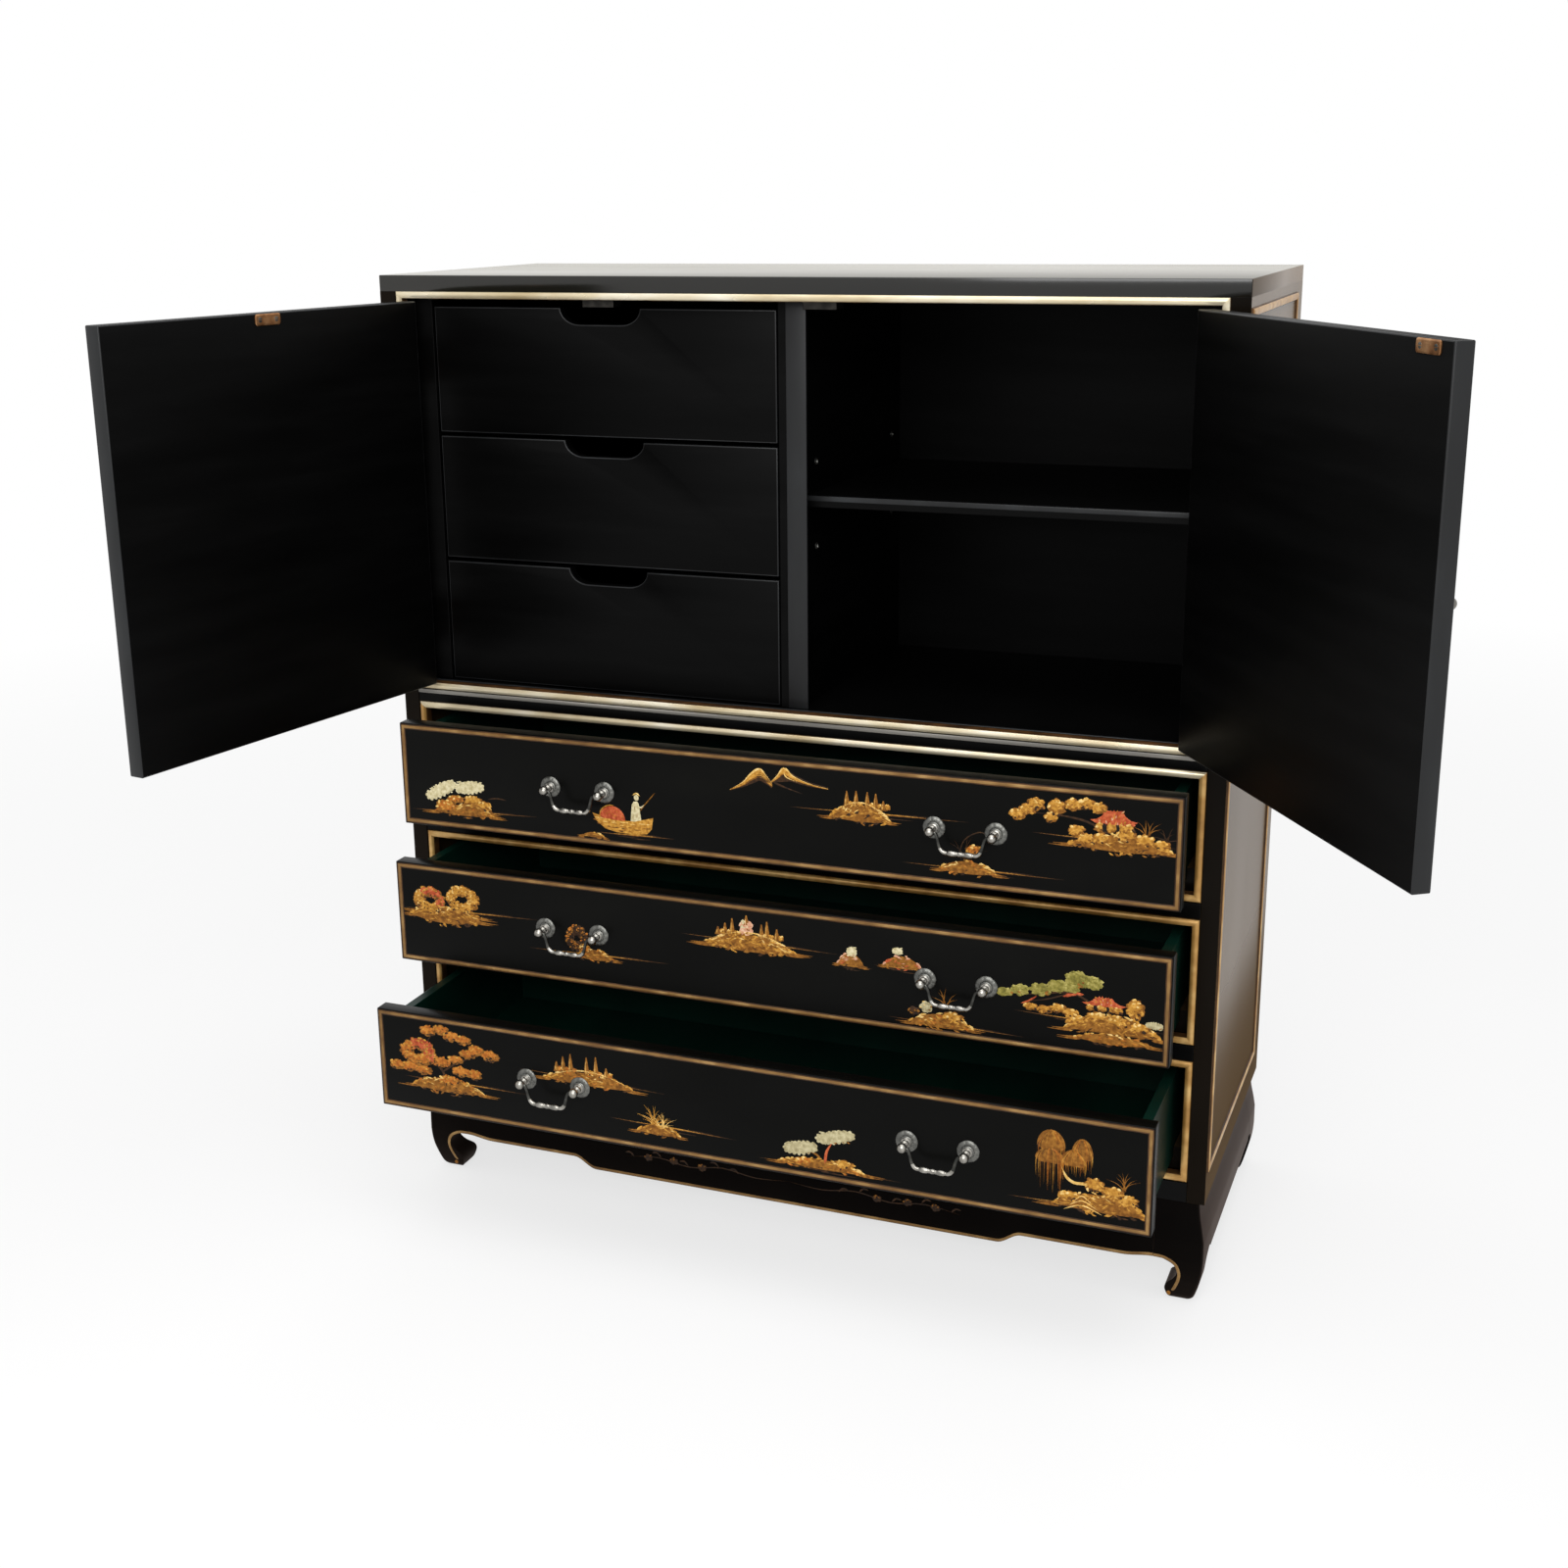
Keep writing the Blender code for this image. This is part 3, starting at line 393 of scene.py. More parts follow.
@dataclass(frozen=True)
class Face:
    """A flat face of the dresser, with millimetres across, up and out of it."""

    origin: Vector
    right: Vector
    up: Vector
    out: Vector

    def point(self, across: float, up: float, out: float = 0.0) -> Vector:
        """A place on the face, across, up and out in millimetres, as metres."""
        return self.origin + (self.right * across + self.up * up + self.out * out) * MM

    def matrix(self, across: float, up: float) -> Matrix:
        """Where a fitting on the face stands, with its x axis across the face, z up, and -y out of it."""
        turned = Matrix((self.right, -self.out, self.up)).transposed().to_4x4()
        return Matrix.Translation(self.point(across, up)) @ turned

    def moved(self, by: Matrix) -> "Face":
        """The face after a move."""
        turn = by.to_3x3()
        return Face(by @ self.origin, turn @ self.right, turn @ self.up, turn @ self.out)

    @classmethod
    def front(cls, origin: Vector) -> "Face":
        """A face that looks to the front."""
        return cls(origin, Vector((1, 0, 0)), Vector((0, 0, 1)), Vector((0, -1, 0)))


class Shape:
    """Points and faces gathered for one piece."""

    def __init__(self) -> None:
        """Starts empty."""
        self.points: list[Vector] = []
        self.faces: list[tuple[int, ...]] = []
        self.marks: list[int] = []

    def ring(self, points: Sequence[Vector]) -> list[int]:
        """Adds a row of points.

        Args:
            points: The points.

        Returns:
            Their numbers.
        """
        start = len(self.points)
        self.points.extend(points)
        return list(range(start, len(self.points)))

    def bridge(self, rings: Sequence[Sequence[int]], closed: bool = True, marks: Sequence[int] = (0,)) -> None:
        """Joins rows of points by faces.

        Args:
            rings: Rows with equally many points.
            closed: Whether the last point of a row joins its first.
            marks: The material of each band; the last one goes on.
        """
        count = len(rings[0])
        for band, (first, second) in enumerate(zip(rings, rings[1:])):
            mark = marks[min(band, len(marks) - 1)]
            for i in range(count if closed else count - 1):
                j = (i + 1) % count
                self.faces.append((first[i], first[j], second[j], second[i]))
                self.marks.append(mark)

    def cap(self, ring: Sequence[int], mark: int = 0) -> None:
        """Closes a row of points with one face."""
        self.faces.append(tuple(ring))
        self.marks.append(mark)

    def fan(self, ring: Sequence[int], tip: Vector, mark: int = 0) -> None:
        """Closes a row of points with a raised middle point.

        Args:
            ring: The row.
            tip: The middle point.
            mark: The material.
        """
        top = self.ring([tip])[0]
        for i, start in enumerate(ring):
            self.faces.append((start, ring[(i + 1) % len(ring)], top))
            self.marks.append(mark)

    def mesh(
        self, name: str, finishes: Sequence[Finish], crease: float = 35.0, outward: bool = True
    ) -> bpy.types.Mesh:
        """The gathered faces as a smooth mesh.

        Args:
            name: The mesh's name.
            finishes: The finishes, in the order of the marks.
            crease: The least angle, in degrees, that stays sharp.
            outward: Whether the faces are turned to the outside.

        Returns:
            The mesh.
        """
        mesh = bpy.data.meshes.new(name)
        mesh.from_pydata(self.points, [], self.faces)
        mesh.polygons.foreach_set("material_index", self.marks)
        if outward:
            bm = bmesh.new()
            bm.from_mesh(mesh)
            bmesh.ops.recalc_face_normals(bm, faces=bm.faces)
            bm.to_mesh(mesh)
            bm.free()
        for finish in finishes:
            mesh.materials.append(finish.material())
        mesh.shade_smooth()
        mesh.set_sharp_from_angle(angle=math.radians(crease))
        return mesh


def place_piece(
    name: str, mesh: bpy.types.Mesh, body: str, nodes: Sequence[str] = (), at: Matrix | None = None
) -> None:
    """Stands a piece on the frame.

    Args:
        name: The piece's name.
        mesh: Its mesh.
        body: The body that carries it.
        nodes: The frame's nodes that it stands for.
        at: Where it stands; its mesh is already in place if this is left out.
    """
    piece = bpy.data.objects.new(name, mesh)
    bpy.context.scene.collection.objects.link(piece)
    if at is not None:
        piece.matrix_world = at
    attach(piece, body)
    if nodes:
        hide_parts(*nodes)
    LOG.info("%s: %d faces, on %s", name, len(mesh.polygons), body)


def dress_node(node: str, finish: Finish, rounding: float = 0.0) -> None:
    """Gives a node of the frame its finish, and softer edges if asked.

    Args:
        node: The node's name.
        finish: The finish.
        rounding: The radius of its edges in metres.
    """
    board = frame["nodes"][node]
    board.data.materials.clear()
    board.data.materials.append(finish.material())
    if rounding:
        joined = board.modifiers.new("joined_corners", "WELD")
        joined.merge_threshold = 1e-5
        soft = board.modifiers.new("soft_edges", "BEVEL")
        soft.width = rounding
        soft.segments = 2
        soft.limit_method = "ANGLE"
        soft.angle_limit = math.radians(EDGE_CREASE)
        soft.harden_normals = True
    LOG.info("%s: dressed in %s", node, finish.name)


def slab_mesh(
    name: str, low: Vector, high: Vector, rounding: float, finish: Finish, rim: Finish | None = None
) -> bpy.types.Mesh:
    """A board with rounded edges.

    Args:
        name: The mesh's name.
        low: Its lowest corner.
        high: Its highest corner.
        rounding: The radius of its edges.
        finish: Its finish.
        rim: The finish of its rounded edges, if they differ.

    Returns:
        The mesh, in place.
    """
    bm = bmesh.new()
    bmesh.ops.create_cube(bm, size=1.0)
    bmesh.ops.scale(bm, vec=high - low, verts=bm.verts)
    bmesh.ops.translate(bm, vec=(low + high) / 2, verts=bm.verts)
    bmesh.ops.bevel(bm, geom=list(bm.edges), offset=rounding, segments=3, profile=0.5, affect="EDGES")
    mesh = bpy.data.meshes.new(name)
    bm.to_mesh(mesh)
    bm.free()
    mesh.materials.append(finish.material())
    mesh.materials.append((rim or finish).material())
    for polygon in mesh.polygons:
        polygon.material_index = int(max(abs(part) for part in polygon.normal) < FLAT)
    mesh.shade_smooth()
    mesh.set_sharp_from_angle(angle=math.radians(EDGE_CREASE))
    return mesh


def inset_loop(loop: Sequence[Point], by: float) -> list[Point]:
    """An anticlockwise outline moved inwards.

    Args:
        loop: The outline.
        by: How far it is moved.

    Returns:
        The moved outline.
    """
    moved = []
    for i, (x, y) in enumerate(loop):
        before, after = loop[i - 1], loop[(i + 1) % len(loop)]
        first = Vector((before[1] - y, x - before[0])).normalized()
        second = Vector((y - after[1], after[0] - x)).normalized()
        step = (first + second) * (by / max(1 + first.dot(second), 0.4))
        moved.append((x + step.x, y + step.y))
    return moved


def smooth_route(points: Sequence[Sequence[float]], steps: int) -> list[tuple[float, ...]]:
    """A smooth curve through points of any number of values.

    Args:
        points: The points.
        steps: How many pieces each span is cut into.

    Returns:
        The points of the curve.
    """
    drawn = []
    last = len(points) - 1
    for i in range(last):
        before, start = points[max(i - 1, 0)], points[i]
        end, after = points[i + 1], points[min(i + 2, last)]
        for step in range(steps):
            t = step / steps
            drawn.append(tuple(
                b + 0.5 * t * (c - a + t * (2 * a - 5 * b + 4 * c - d + t * (3 * (b - c) + d - a)))
                for a, b, c, d in zip(before, start, end, after)
            ))
    drawn.append(tuple(points[-1]))
    return drawn


def heading(route: Sequence[Sequence[float]], i: int) -> Vector:
    """The way that a route runs at one of its points, by the first two values of the points beside it."""
    (a, b), (c, d) = route[max(i - 1, 0)][:2], route[min(i + 1, len(route) - 1)][:2]
    return Vector((c - a, d - b)).normalized() if (a, b) != (c, d) else Vector((1.0, 0.0))


def rounded_loop(left: float, low: float, right: float, high: float, radius: float) -> list[Point]:
    """A rectangle with round corners, anticlockwise.

    Args:
        left: Its left edge.
        low: Its lower edge.
        right: Its right edge.
        high: Its upper edge.
        radius: The radius of its corners.

    Returns:
        The points of the loop.
    """
    loop = []
    corners = ((right, high, 0), (left, high, 90), (left, low, 180), (right, low, 270))
    for x, y, turn in corners:
        middle_x = x - radius if x == right else x + radius
        middle_y = y - radius if y == high else y + radius
        for i in range(CORNER_STEPS + 1):
            angle = math.radians(turn + 90 * i / CORNER_STEPS)
            loop.append((middle_x + radius * math.cos(angle), middle_y + radius * math.sin(angle)))
    return loop


def arch(u: float, v: float, half: float, height: float) -> list[Point]:
    """A half-round outline about a middle, from right to left, with its half width and its height."""
    turns = [math.pi * i / 12 for i in range(13)]
    return [(u + half * math.cos(turn), v + height * math.sin(turn)) for turn in turns]


def moulding(
    shape: Shape, face: Face, box: Sequence[float], profile: Sequence[Point], radius: float, marks: Sequence[int] = (0,)
) -> None:
    """A moulding or painted line that runs round a rectangle.

    Args:
        shape: The shape that it is added to.
        face: The face that carries it.
        box: The rectangle's left, lower, right and upper edge on the face, in millimetres.
        profile: Places inwards from the rectangle, with their height out of the face.
        radius: The radius of the rectangle's corners.
        marks: The material of each band of the profile.
    """
    left, low, right, high = box
    rings = []
    for inset, out in profile:
        loop = rounded_loop(left + inset, low + inset, right - inset, high - inset, max(radius - inset, 0.05))
        rings.append(shape.ring([face.point(u, v, out) for u, v in loop]))
    shape.bridge(rings, True, marks)


def turned_mesh(
    name: str, profile: Sequence[Point], steps: int, finish: Finish,
    flute: Callable[[float, float], float] | None = None,
) -> bpy.types.Mesh:
    """A turned form that stands along -y.

    Args:
        name: The mesh's name.
        profile: Radius and distance out, in millimetres, from the foot to the tip.
        steps: How many pieces the round is cut into.
        finish: Its finish.
        flute: Extra distance out for a radius and an angle.

    Returns:
        The mesh, with its foot at the origin.
    """
    shape = Shape()
    rings = []
    for radius, out in profile:
        ring = []
        for i in range(steps):
            turn = 2 * math.pi * i / steps
            rise = out + (flute(radius, turn) if flute else 0.0)
            ring.append(Vector((radius * math.cos(turn), -rise, radius * math.sin(turn))) * MM)
        rings.append(shape.ring(ring))
    shape.bridge(rings)
    shape.cap(list(reversed(rings[0])))
    shape.cap(rings[-1])
    return shape.mesh(name, [finish])


class Brush:
    """Lays traditional landscape motifs on a face in raised paint; all sizes are millimetres."""

    def __init__(self, face: Face, seed: int, field_ends: Point = (-400.0, 400.0)) -> None:
        """Starts a painting.

        Args:
            face: The face that it is on.
            seed: The seed of its steady hand.
            field_ends: Where it ends to the left and to the right.
        """
        self.face = face
        self.field_ends = field_ends
        self.shape = Shape()
        self.hand = random.Random(seed)
        self.at: Point = (0.0, 0.0)
        self.scale = 1.0

    def move(self, across: float, up: float, scale: float = 1.0) -> None:
        """Sets where the next motifs start, and how large they are."""
        self.at = (across, up)
        self.scale = scale

    def spot(self, across: float, up: float, out: float) -> Vector:
        """A place in the motif, in metres."""
        u = clamp(self.at[0] + across * self.scale, *self.field_ends)
        return self.face.point(u, self.at[1] + up * self.scale, out)

    def pick(self, tones: Tones, light: float) -> Paint:
        """A paint from dark to light tones, for a lightness from 0 to 1."""
        return tones[int(clamp(light * len(tones), 0, len(tones) - 1))]

    def raise_loop(self, loop: Sequence[Point], steps: Sequence[Point], tip: float, paint: Paint) -> None:
        """Raises an outline to a closed cushion of paint.

        Args:
            loop: The outline, which its middle can see all of.
            steps: Shares of the outline's size, with their heights.
            tip: The height of the middle.
            paint: The paint.
        """
        area = sum(a[0] * b[1] - b[0] * a[1] for a, b in zip(loop, [*loop[1:], loop[0]]))
        points = list(loop) if area > 0 else list(reversed(loop))
        u = sum(p[0] for p in points) / len(points)
        v = sum(p[1] for p in points) / len(points)
        mark = PAINTS.index(paint)
        rings = []
        for share, out in steps:
            spots = [self.spot(u + (x - u) * share, v + (y - v) * share, out) for x, y in points]
            rings.append(self.shape.ring(spots))
        self.shape.bridge(rings, True, (mark,))
        self.shape.fan(rings[-1], self.spot(u, v, tip), mark)

    def dome(self, outline: Sequence[Point], rise: float, paint: Paint, crown: float = 0.6) -> None:
        """A raised patch of paint with a soft edge; its crown is the share of its width that is nearly level."""
        self.raise_loop(outline, ((1.0, -0.05), (0.94, 0.6 * rise), (crown, rise)), rise * 1.06, paint)

    def dab(
        self, u: float, v: float, length: float, width: float, turn: float, paint: Paint, rise: float = 0.36
    ) -> None:
        """One touch of the brush.

        Args:
            u: Its middle across.
            v: Its middle up.
            length: Its length.
            width: Its width.
            turn: How far its length is turned from level.
            paint: Its paint.
            rise: Its height.
        """
        loop = []
        for i in range(7):
            angle = 2 * math.pi * i / 7
            x, y = length / 2 * math.cos(angle), width / 2 * math.sin(angle)
            loop.append((u + x * math.cos(turn) - y * math.sin(turn), v + x * math.sin(turn) + y * math.cos(turn)))
        self.raise_loop(loop, ((1.0, -0.05), (0.62, rise)), rise * 1.05, paint)

    def oval(
        self, u: float, v: float, width: float, height: float, paint: Paint,
        rise: float = 0.3, jag: float = 0.0, lobes: int = 0,
    ) -> None:
        """A round patch, jagged or scalloped if asked.

        Args:
            u: Its middle across.
            v: Its middle up.
            width: Its width.
            height: Its height on the face.
            paint: Its paint.
            rise: How far it stands out.
            jag: How uneven its edge is, as a share.
            lobes: How many scallops its edge has.
        """
        count = lobes * 5 if lobes else max(8, int(6 + 0.6 * max(width, height) * self.scale))
        outline = []
        for i in range(count):
            turn = 2 * math.pi * i / count
            reach = 1.0 + jag * self.hand.uniform(-1, 1)
            if lobes:
                reach -= 0.24 * (1 - abs(math.sin(lobes * turn / 2)))
            outline.append((u + width / 2 * reach * math.cos(turn), v + height / 2 * reach * math.sin(turn)))
        self.dome(outline, rise, paint)

    def stroke(
        self, route: Sequence[Point], width: float, paint: Paint,
        rise: float = 0.22, ends: Point = (0.25, 0.25), steps: int = 4,
    ) -> None:
        """A brush stroke, thin at its ends.

        Args:
            route: The points that it passes.
            width: Its greatest width.
            paint: Its paint.
            rise: How far its middle stands out.
            ends: The share of its length over which each end thins out.
            steps: How many pieces each span is cut into.
        """
        points = smooth_route(route, steps)
        sides: list[list[Vector]] = [[], [], []]
        for i, (u, v) in enumerate(points):
            along = heading(points, i)
            t = i / (len(points) - 1)
            share = min(1.0, (t + 0.02) / max(ends[0], 1e-6), (1.02 - t) / max(ends[1], 1e-6))
            half = width / 2 * max(share, 0.08)
            sides[0].append(self.spot(u + along.y * half, v - along.x * half, -0.05))
            sides[1].append(self.spot(u, v, rise * (0.5 + 0.5 * share)))
            sides[2].append(self.spot(u - along.y * half, v + along.x * half, -0.05))
        rows = [self.shape.ring(side) for side in sides]
        self.shape.bridge(rows, False, (PAINTS.index(paint),))

    def peak(self, outline: Sequence[Point], crest: Sequence[Point], tones: Tones) -> None:
        """A far mountain: a brushed slope under a bright crest.

        Args:
            outline: The outline of its slope.
            crest: The points along its crest.
            tones: Its paints, from dark to light.
        """
        self.dome(outline, 0.22, tones[0], 0.7)
        low = min(v for _, v in outline)
        for i in range(5):
            share = i / 5
            drift = [(u + self.hand.uniform(-0.4, 0.4), v - (1 - share) * 0.40 * (v - low) - 1.2) for u, v in crest]
            self.stroke(drift, 6.4, self.pick(tones[:-1], share + 0.2), 0.26 + 0.05 * i, (0.5, 0.6))
        self.stroke([(u, v - 1.0) for u, v in crest], 4.2, tones[-1], 0.54, (0.6, 0.7))

    def shore(self, left: float, right: float, level: float, tilt: float = 0.0) -> None:
        """A long water line that fades out to both sides.

        Args:
            left: Its left end.
            right: Its right end.
            level: Its height at the left.
            tilt: How much higher its right end is.
        """
        span, fading = right - left, (0.5, 0.5)

        def at(t: float, lift: float = 0.0) -> Point:
            """A place along the line."""
            return left + span * t, level + tilt * t + lift

        self.stroke([at(0), at(0.3, -0.3), at(0.7, 0.2), at(1)], 3.2, Paint.UMBER, 0.14, fading)
        self.stroke([at(0.04), at(0.4, -0.2), at(0.66, 0.2), at(0.95)], 2.3, Paint.OCHRE, 0.20, fading)
        self.stroke([at(0.16), at(0.4, 0.4), at(0.62, 0.6), at(0.84)], 1.2, Paint.GOLD, 0.26, fading)
        for t, lift, length in ((0.26, -2.2, 0.30), (0.44, -3.6, 0.26), (0.58, 1.4, 0.24)):
            ripple = [at(t, lift), at(t + length / 2, lift - 0.2), at(t + length, lift)]
            self.stroke(ripple, 1.5, Paint.UMBER, 0.18, fading)

    def bank(self, u: float, v: float, width: float, height: float, tones: Tones = GILDED, sink: float = 0.3) -> None:
        """Ground or rock in many touches, dark at its foot and light at its top.

        Args:
            u: Its middle across.
            v: The level of its shore.
            width: Its width.
            height: Its height.
            tones: Its paints, from dark to light.
            sink: How far it goes below its shore, as a share of its height.
        """
        def at(t: float, share: float) -> Point:
            """A place in the bank.

            Args:
                t: Its place across, from -1 to 1.
                share: Its place up, from 0 to 1.

            Returns:
                The place.
            """
            swell = max(1 - t * t, 0.0)
            top, foot = height * swell ** 0.8, -sink * height * swell
            return u + width / 2 * t, v + foot + (top - foot) * share

        outline = [at(1 - i / 8, 0.90) for i in range(17)] + [at(-0.8 + i / 5, 0.16) for i in range(9)]
        self.dome(outline, 0.16, tones[1], 0.75)
        start = self.hand.uniform(0, 6)
        rows = max(4, int(height * (1 + sink) / 1.9))
        for row in range(rows):
            share = (row + 0.4) / rows
            for _ in range(max(2, int(width / (8 + 5 * (1 - share))))):
                t, half = self.hand.uniform(-0.96, 0.96), self.hand.uniform(2.6, 8.5) / width
                lean = self.hand.uniform(-0.12, 0.12)
                route = [at(clamp(t + k * half, -1.0), clamp(share + k * lean, 0.0, 0.97)) for k in (-1, 0, 1)]
                light = 0.20 + 0.62 * share + 0.15 * math.sin(start + 5.2 * t) + self.hand.uniform(-0.20, 0.20)
                breadth, rise = self.hand.uniform(1.8, 3.6), 0.24 + 0.14 * share + self.hand.uniform(0, 0.06)
                self.stroke(route, breadth, self.pick(tones, light), rise, (0.45, 0.45), 3)
        for end in (-1, 1):
            for drop in (0.0, 1.8):
                reach = end * width * self.hand.uniform(0.10, 0.16)
                foot = u + end * width * 0.40
                spit = [(foot, v + 0.8 - drop), (foot + reach, v - drop), (foot + 2 * reach, v - drop)]
                self.stroke(spit, 2.6, tones[1], 0.24, (0.1, 0.7))

    def lump(self, u: float, v: float, width: float, height: float, tones: Tones, grain: float = 3.3) -> None:
        """A clump of leaves in small touches, lighter at its upper left.

        Args:
            u: Its middle across.
            v: Its middle up.
            width: Its width.
            height: Its height.
            tones: Its paints, from dark to light.
            grain: The size of a touch.
        """
        lobes = max(5, int((width + height) / 5.5))
        self.oval(u, v, width, height, tones[1], 0.18, 0.06, lobes)
        self.oval(u - 0.02 * width, v + 0.05 * height, 0.80 * width, 0.76 * height, tones[2], 0.26, 0.08, lobes)
        for _ in range(max(6, int(0.74 * width * height / (grain * grain)))):
            turn, reach = self.hand.uniform(0, 2 * math.pi), math.sqrt(self.hand.random())
            x, y = reach * math.cos(turn), reach * math.sin(turn)
            light = 0.54 + 0.36 * y - 0.14 * x + self.hand.uniform(-0.26, 0.26)
            length, breadth = grain * self.hand.uniform(1.0, 1.8), grain * self.hand.uniform(0.7, 1.1)
            lean, rise = self.hand.uniform(-0.6, 0.9) - 0.5 * x, self.hand.uniform(0.32, 0.46)
            self.dab(u + 0.43 * x * width, v + 0.43 * y * height, length, breadth, lean, self.pick(tones, light), rise)

    def lumps(self, tones: Tones, *clumps: tuple[float, float, float, float]) -> None:
        """Clumps of leaves in the same paints, each with its middle across and up, its width and its height."""
        for clump in clumps:
            self.lump(*clump, tones)

    def wreath(self, u: float, v: float, width: float, height: float, hollow: float, sky: Tones, earth: Tones) -> None:
        """A round tree drawn as a ring of clumps with a bare middle.

        Args:
            u: Its middle across.
            v: Its middle up.
            width: Its width.
            height: Its height.
            hollow: The bare share of its radius.
            sky: The paints of its upper clumps.
            earth: The paints of its lower clumps.
        """
        count = max(8, int((width + height) / 7))
        reach, thick = (1 + hollow) / 4, 0.62 * (1 - hollow)
        for i in range(count):
            turn = 2 * math.pi * (i + 0.3) / count
            tones = sky if math.sin(turn + 0.6) > 0.1 else earth
            size = self.hand.uniform(0.9, 1.15)
            self.lump(
                u + width * reach * math.cos(turn), v + height * reach * math.sin(turn),
                width * thick * size * 0.8, height * thick * size, tones, 2.7,
            )

    def cloud(self, u: float, v: float, width: float, height: float, tilt: float = 0.0, tones: Tones = IVORY) -> None:
        """A flat, cloud-shaped tree crown.

        Args:
            u: Its middle across.
            v: Its middle up.
            width: Its width.
            height: Its height.
            tilt: How much higher its right end is.
            tones: Its paints, from dark to light.
        """
        for i in range(6):
            t = i / 5 - 0.5
            tall = height * (0.72 + 0.28 * math.cos(math.pi * t))
            self.oval(u + 0.70 * width * t, v + tilt * t, 0.36 * width, tall, tones[2], 0.30 + 0.01 * i, 0.03, 7)
        for _ in range(int(width * height / 14)):
            t, rise = self.hand.uniform(-0.44, 0.44), self.hand.uniform(-0.42, 0.42)
            light = 0.66 + 0.8 * rise + self.hand.uniform(-0.18, 0.3)
            self.dab(
                u + width * t, v + tilt * t + height * rise, self.hand.uniform(2.6, 4.6), self.hand.uniform(1.2, 2.0),
                self.hand.uniform(-0.5, 0.5), self.pick(tones[1:], light), self.hand.uniform(0.40, 0.48),
            )

    def trunk(self, route: Sequence[Point], width: float, paint: Paint = Paint.UMBER) -> None:
        """A tree trunk, thick at its foot."""
        self.stroke(route, width, paint, 0.30, (0.04, 0.55))

    def spire(self, u: float, v: float, top: float, paint: Paint = Paint.GOLD) -> None:
        """A far pagoda, broad at its foot, with a light side and a finial.

        Args:
            u: Its middle across.
            v: Its foot.
            top: The level of its tip.
            paint: The paint of its shaft.
        """
        waist = v + 0.5 * (top - v)
        shaft = [(u - 3.6, v), (u + 3.6, v), (u + 2.3, waist), (u + 0.6, top), (u - 0.6, top), (u - 2.3, waist)]
        self.dome(shaft, 0.34, Paint.OCHRE, 0.6)
        self.stroke([(u - 0.6, v + 1), (u - 0.6, waist), (u, top - 1)], 2.8, paint, 0.46, (0.1, 0.6))
        self.stroke([(u - 1.4, v + 1), (u - 1.1, waist), (u - 0.1, top - 3)], 1.3, Paint.PALE, 0.54)

    def pavilions(
        self, left: float, right: float, level: float, height: float, spires: Sequence[Point], tones: Tones = GILDED
    ) -> None:
        """A far islet with pagodas and small trees.

        Args:
            left: Its left end.
            right: Its right end.
            level: The level of its shore.
            height: The height of its bank.
            spires: Each pagoda's place across and its top.
            tones: The paints of its bank.
        """
        u, width = (left + right) / 2, right - left
        for place, top in spires:
            foot = level + height * 0.55
            self.spire(place, foot, top - 2.0)
            self.lump(place + 4.6, foot + 4.0, 7.0, 7.0, tones, 2.2)
        self.bank(u, level, width, height * 0.86, tones, 0.35)
        crest = ((-0.40, 0.30), (-0.20, 0.72), (0.0, 0.86), (0.20, 0.72), (0.42, 0.26))
        ridge = [(u + x * width, level + y * height) for x, y in crest]
        self.stroke(ridge, 1.7, Paint.PALE, 0.52, (0.3, 0.3))

    def house(self, u: float, v: float, width: float, height: float) -> None:
        """A small house under a brushed red roof, with dark openings.

        Args:
            u: Its middle across.
            v: Its foot.
            width: The roof's width.
            height: Its height to the ridge.
        """
        eave = v + 0.40 * height
        for place in (-0.30, -0.06, 0.16, 0.34):
            self.lump(u + place * width, v + 0.22 * height, 0.26 * width, 0.5 * height, GILDED)
        for place, wide in ((-0.20, 0.13), (0.10, 0.10)):
            self.dab(u + place * width, v + 0.24 * height, wide * width, 0.42 * height, 0.1, Paint.INK, 0.56)
        roof = [
            (u + x * width, eave + y * height) for x, y in (
                (-0.53, 0.10), (-0.40, -0.03), (-0.14, -0.05), (0.18, -0.03), (0.42, 0.00), (0.54, 0.15),
                (0.38, 0.20), (0.26, 0.36), (0.19, 0.58), (0.0, 0.53), (-0.20, 0.55), (-0.26, 0.32), (-0.37, 0.16),
            )
        ]
        self.dome(roof, 0.34, Paint.RED, 0.7)
        for _ in range(int(0.9 * width)):
            t, share = self.hand.uniform(-1, 1), self.hand.random()
            x, y = u + t * width * (0.20 + 0.28 * (1 - share) ** 2), eave + 0.54 * height * share
            tone = self.pick(ROOF, self.hand.random())
            length, breadth, rise = (self.hand.uniform(*ends) for ends in ((2.6, 5.0), (1.2, 2.0), (0.48, 0.58)))
            self.dab(x, y, length, breadth, math.pi / 2 - 0.9 * t, tone, rise)

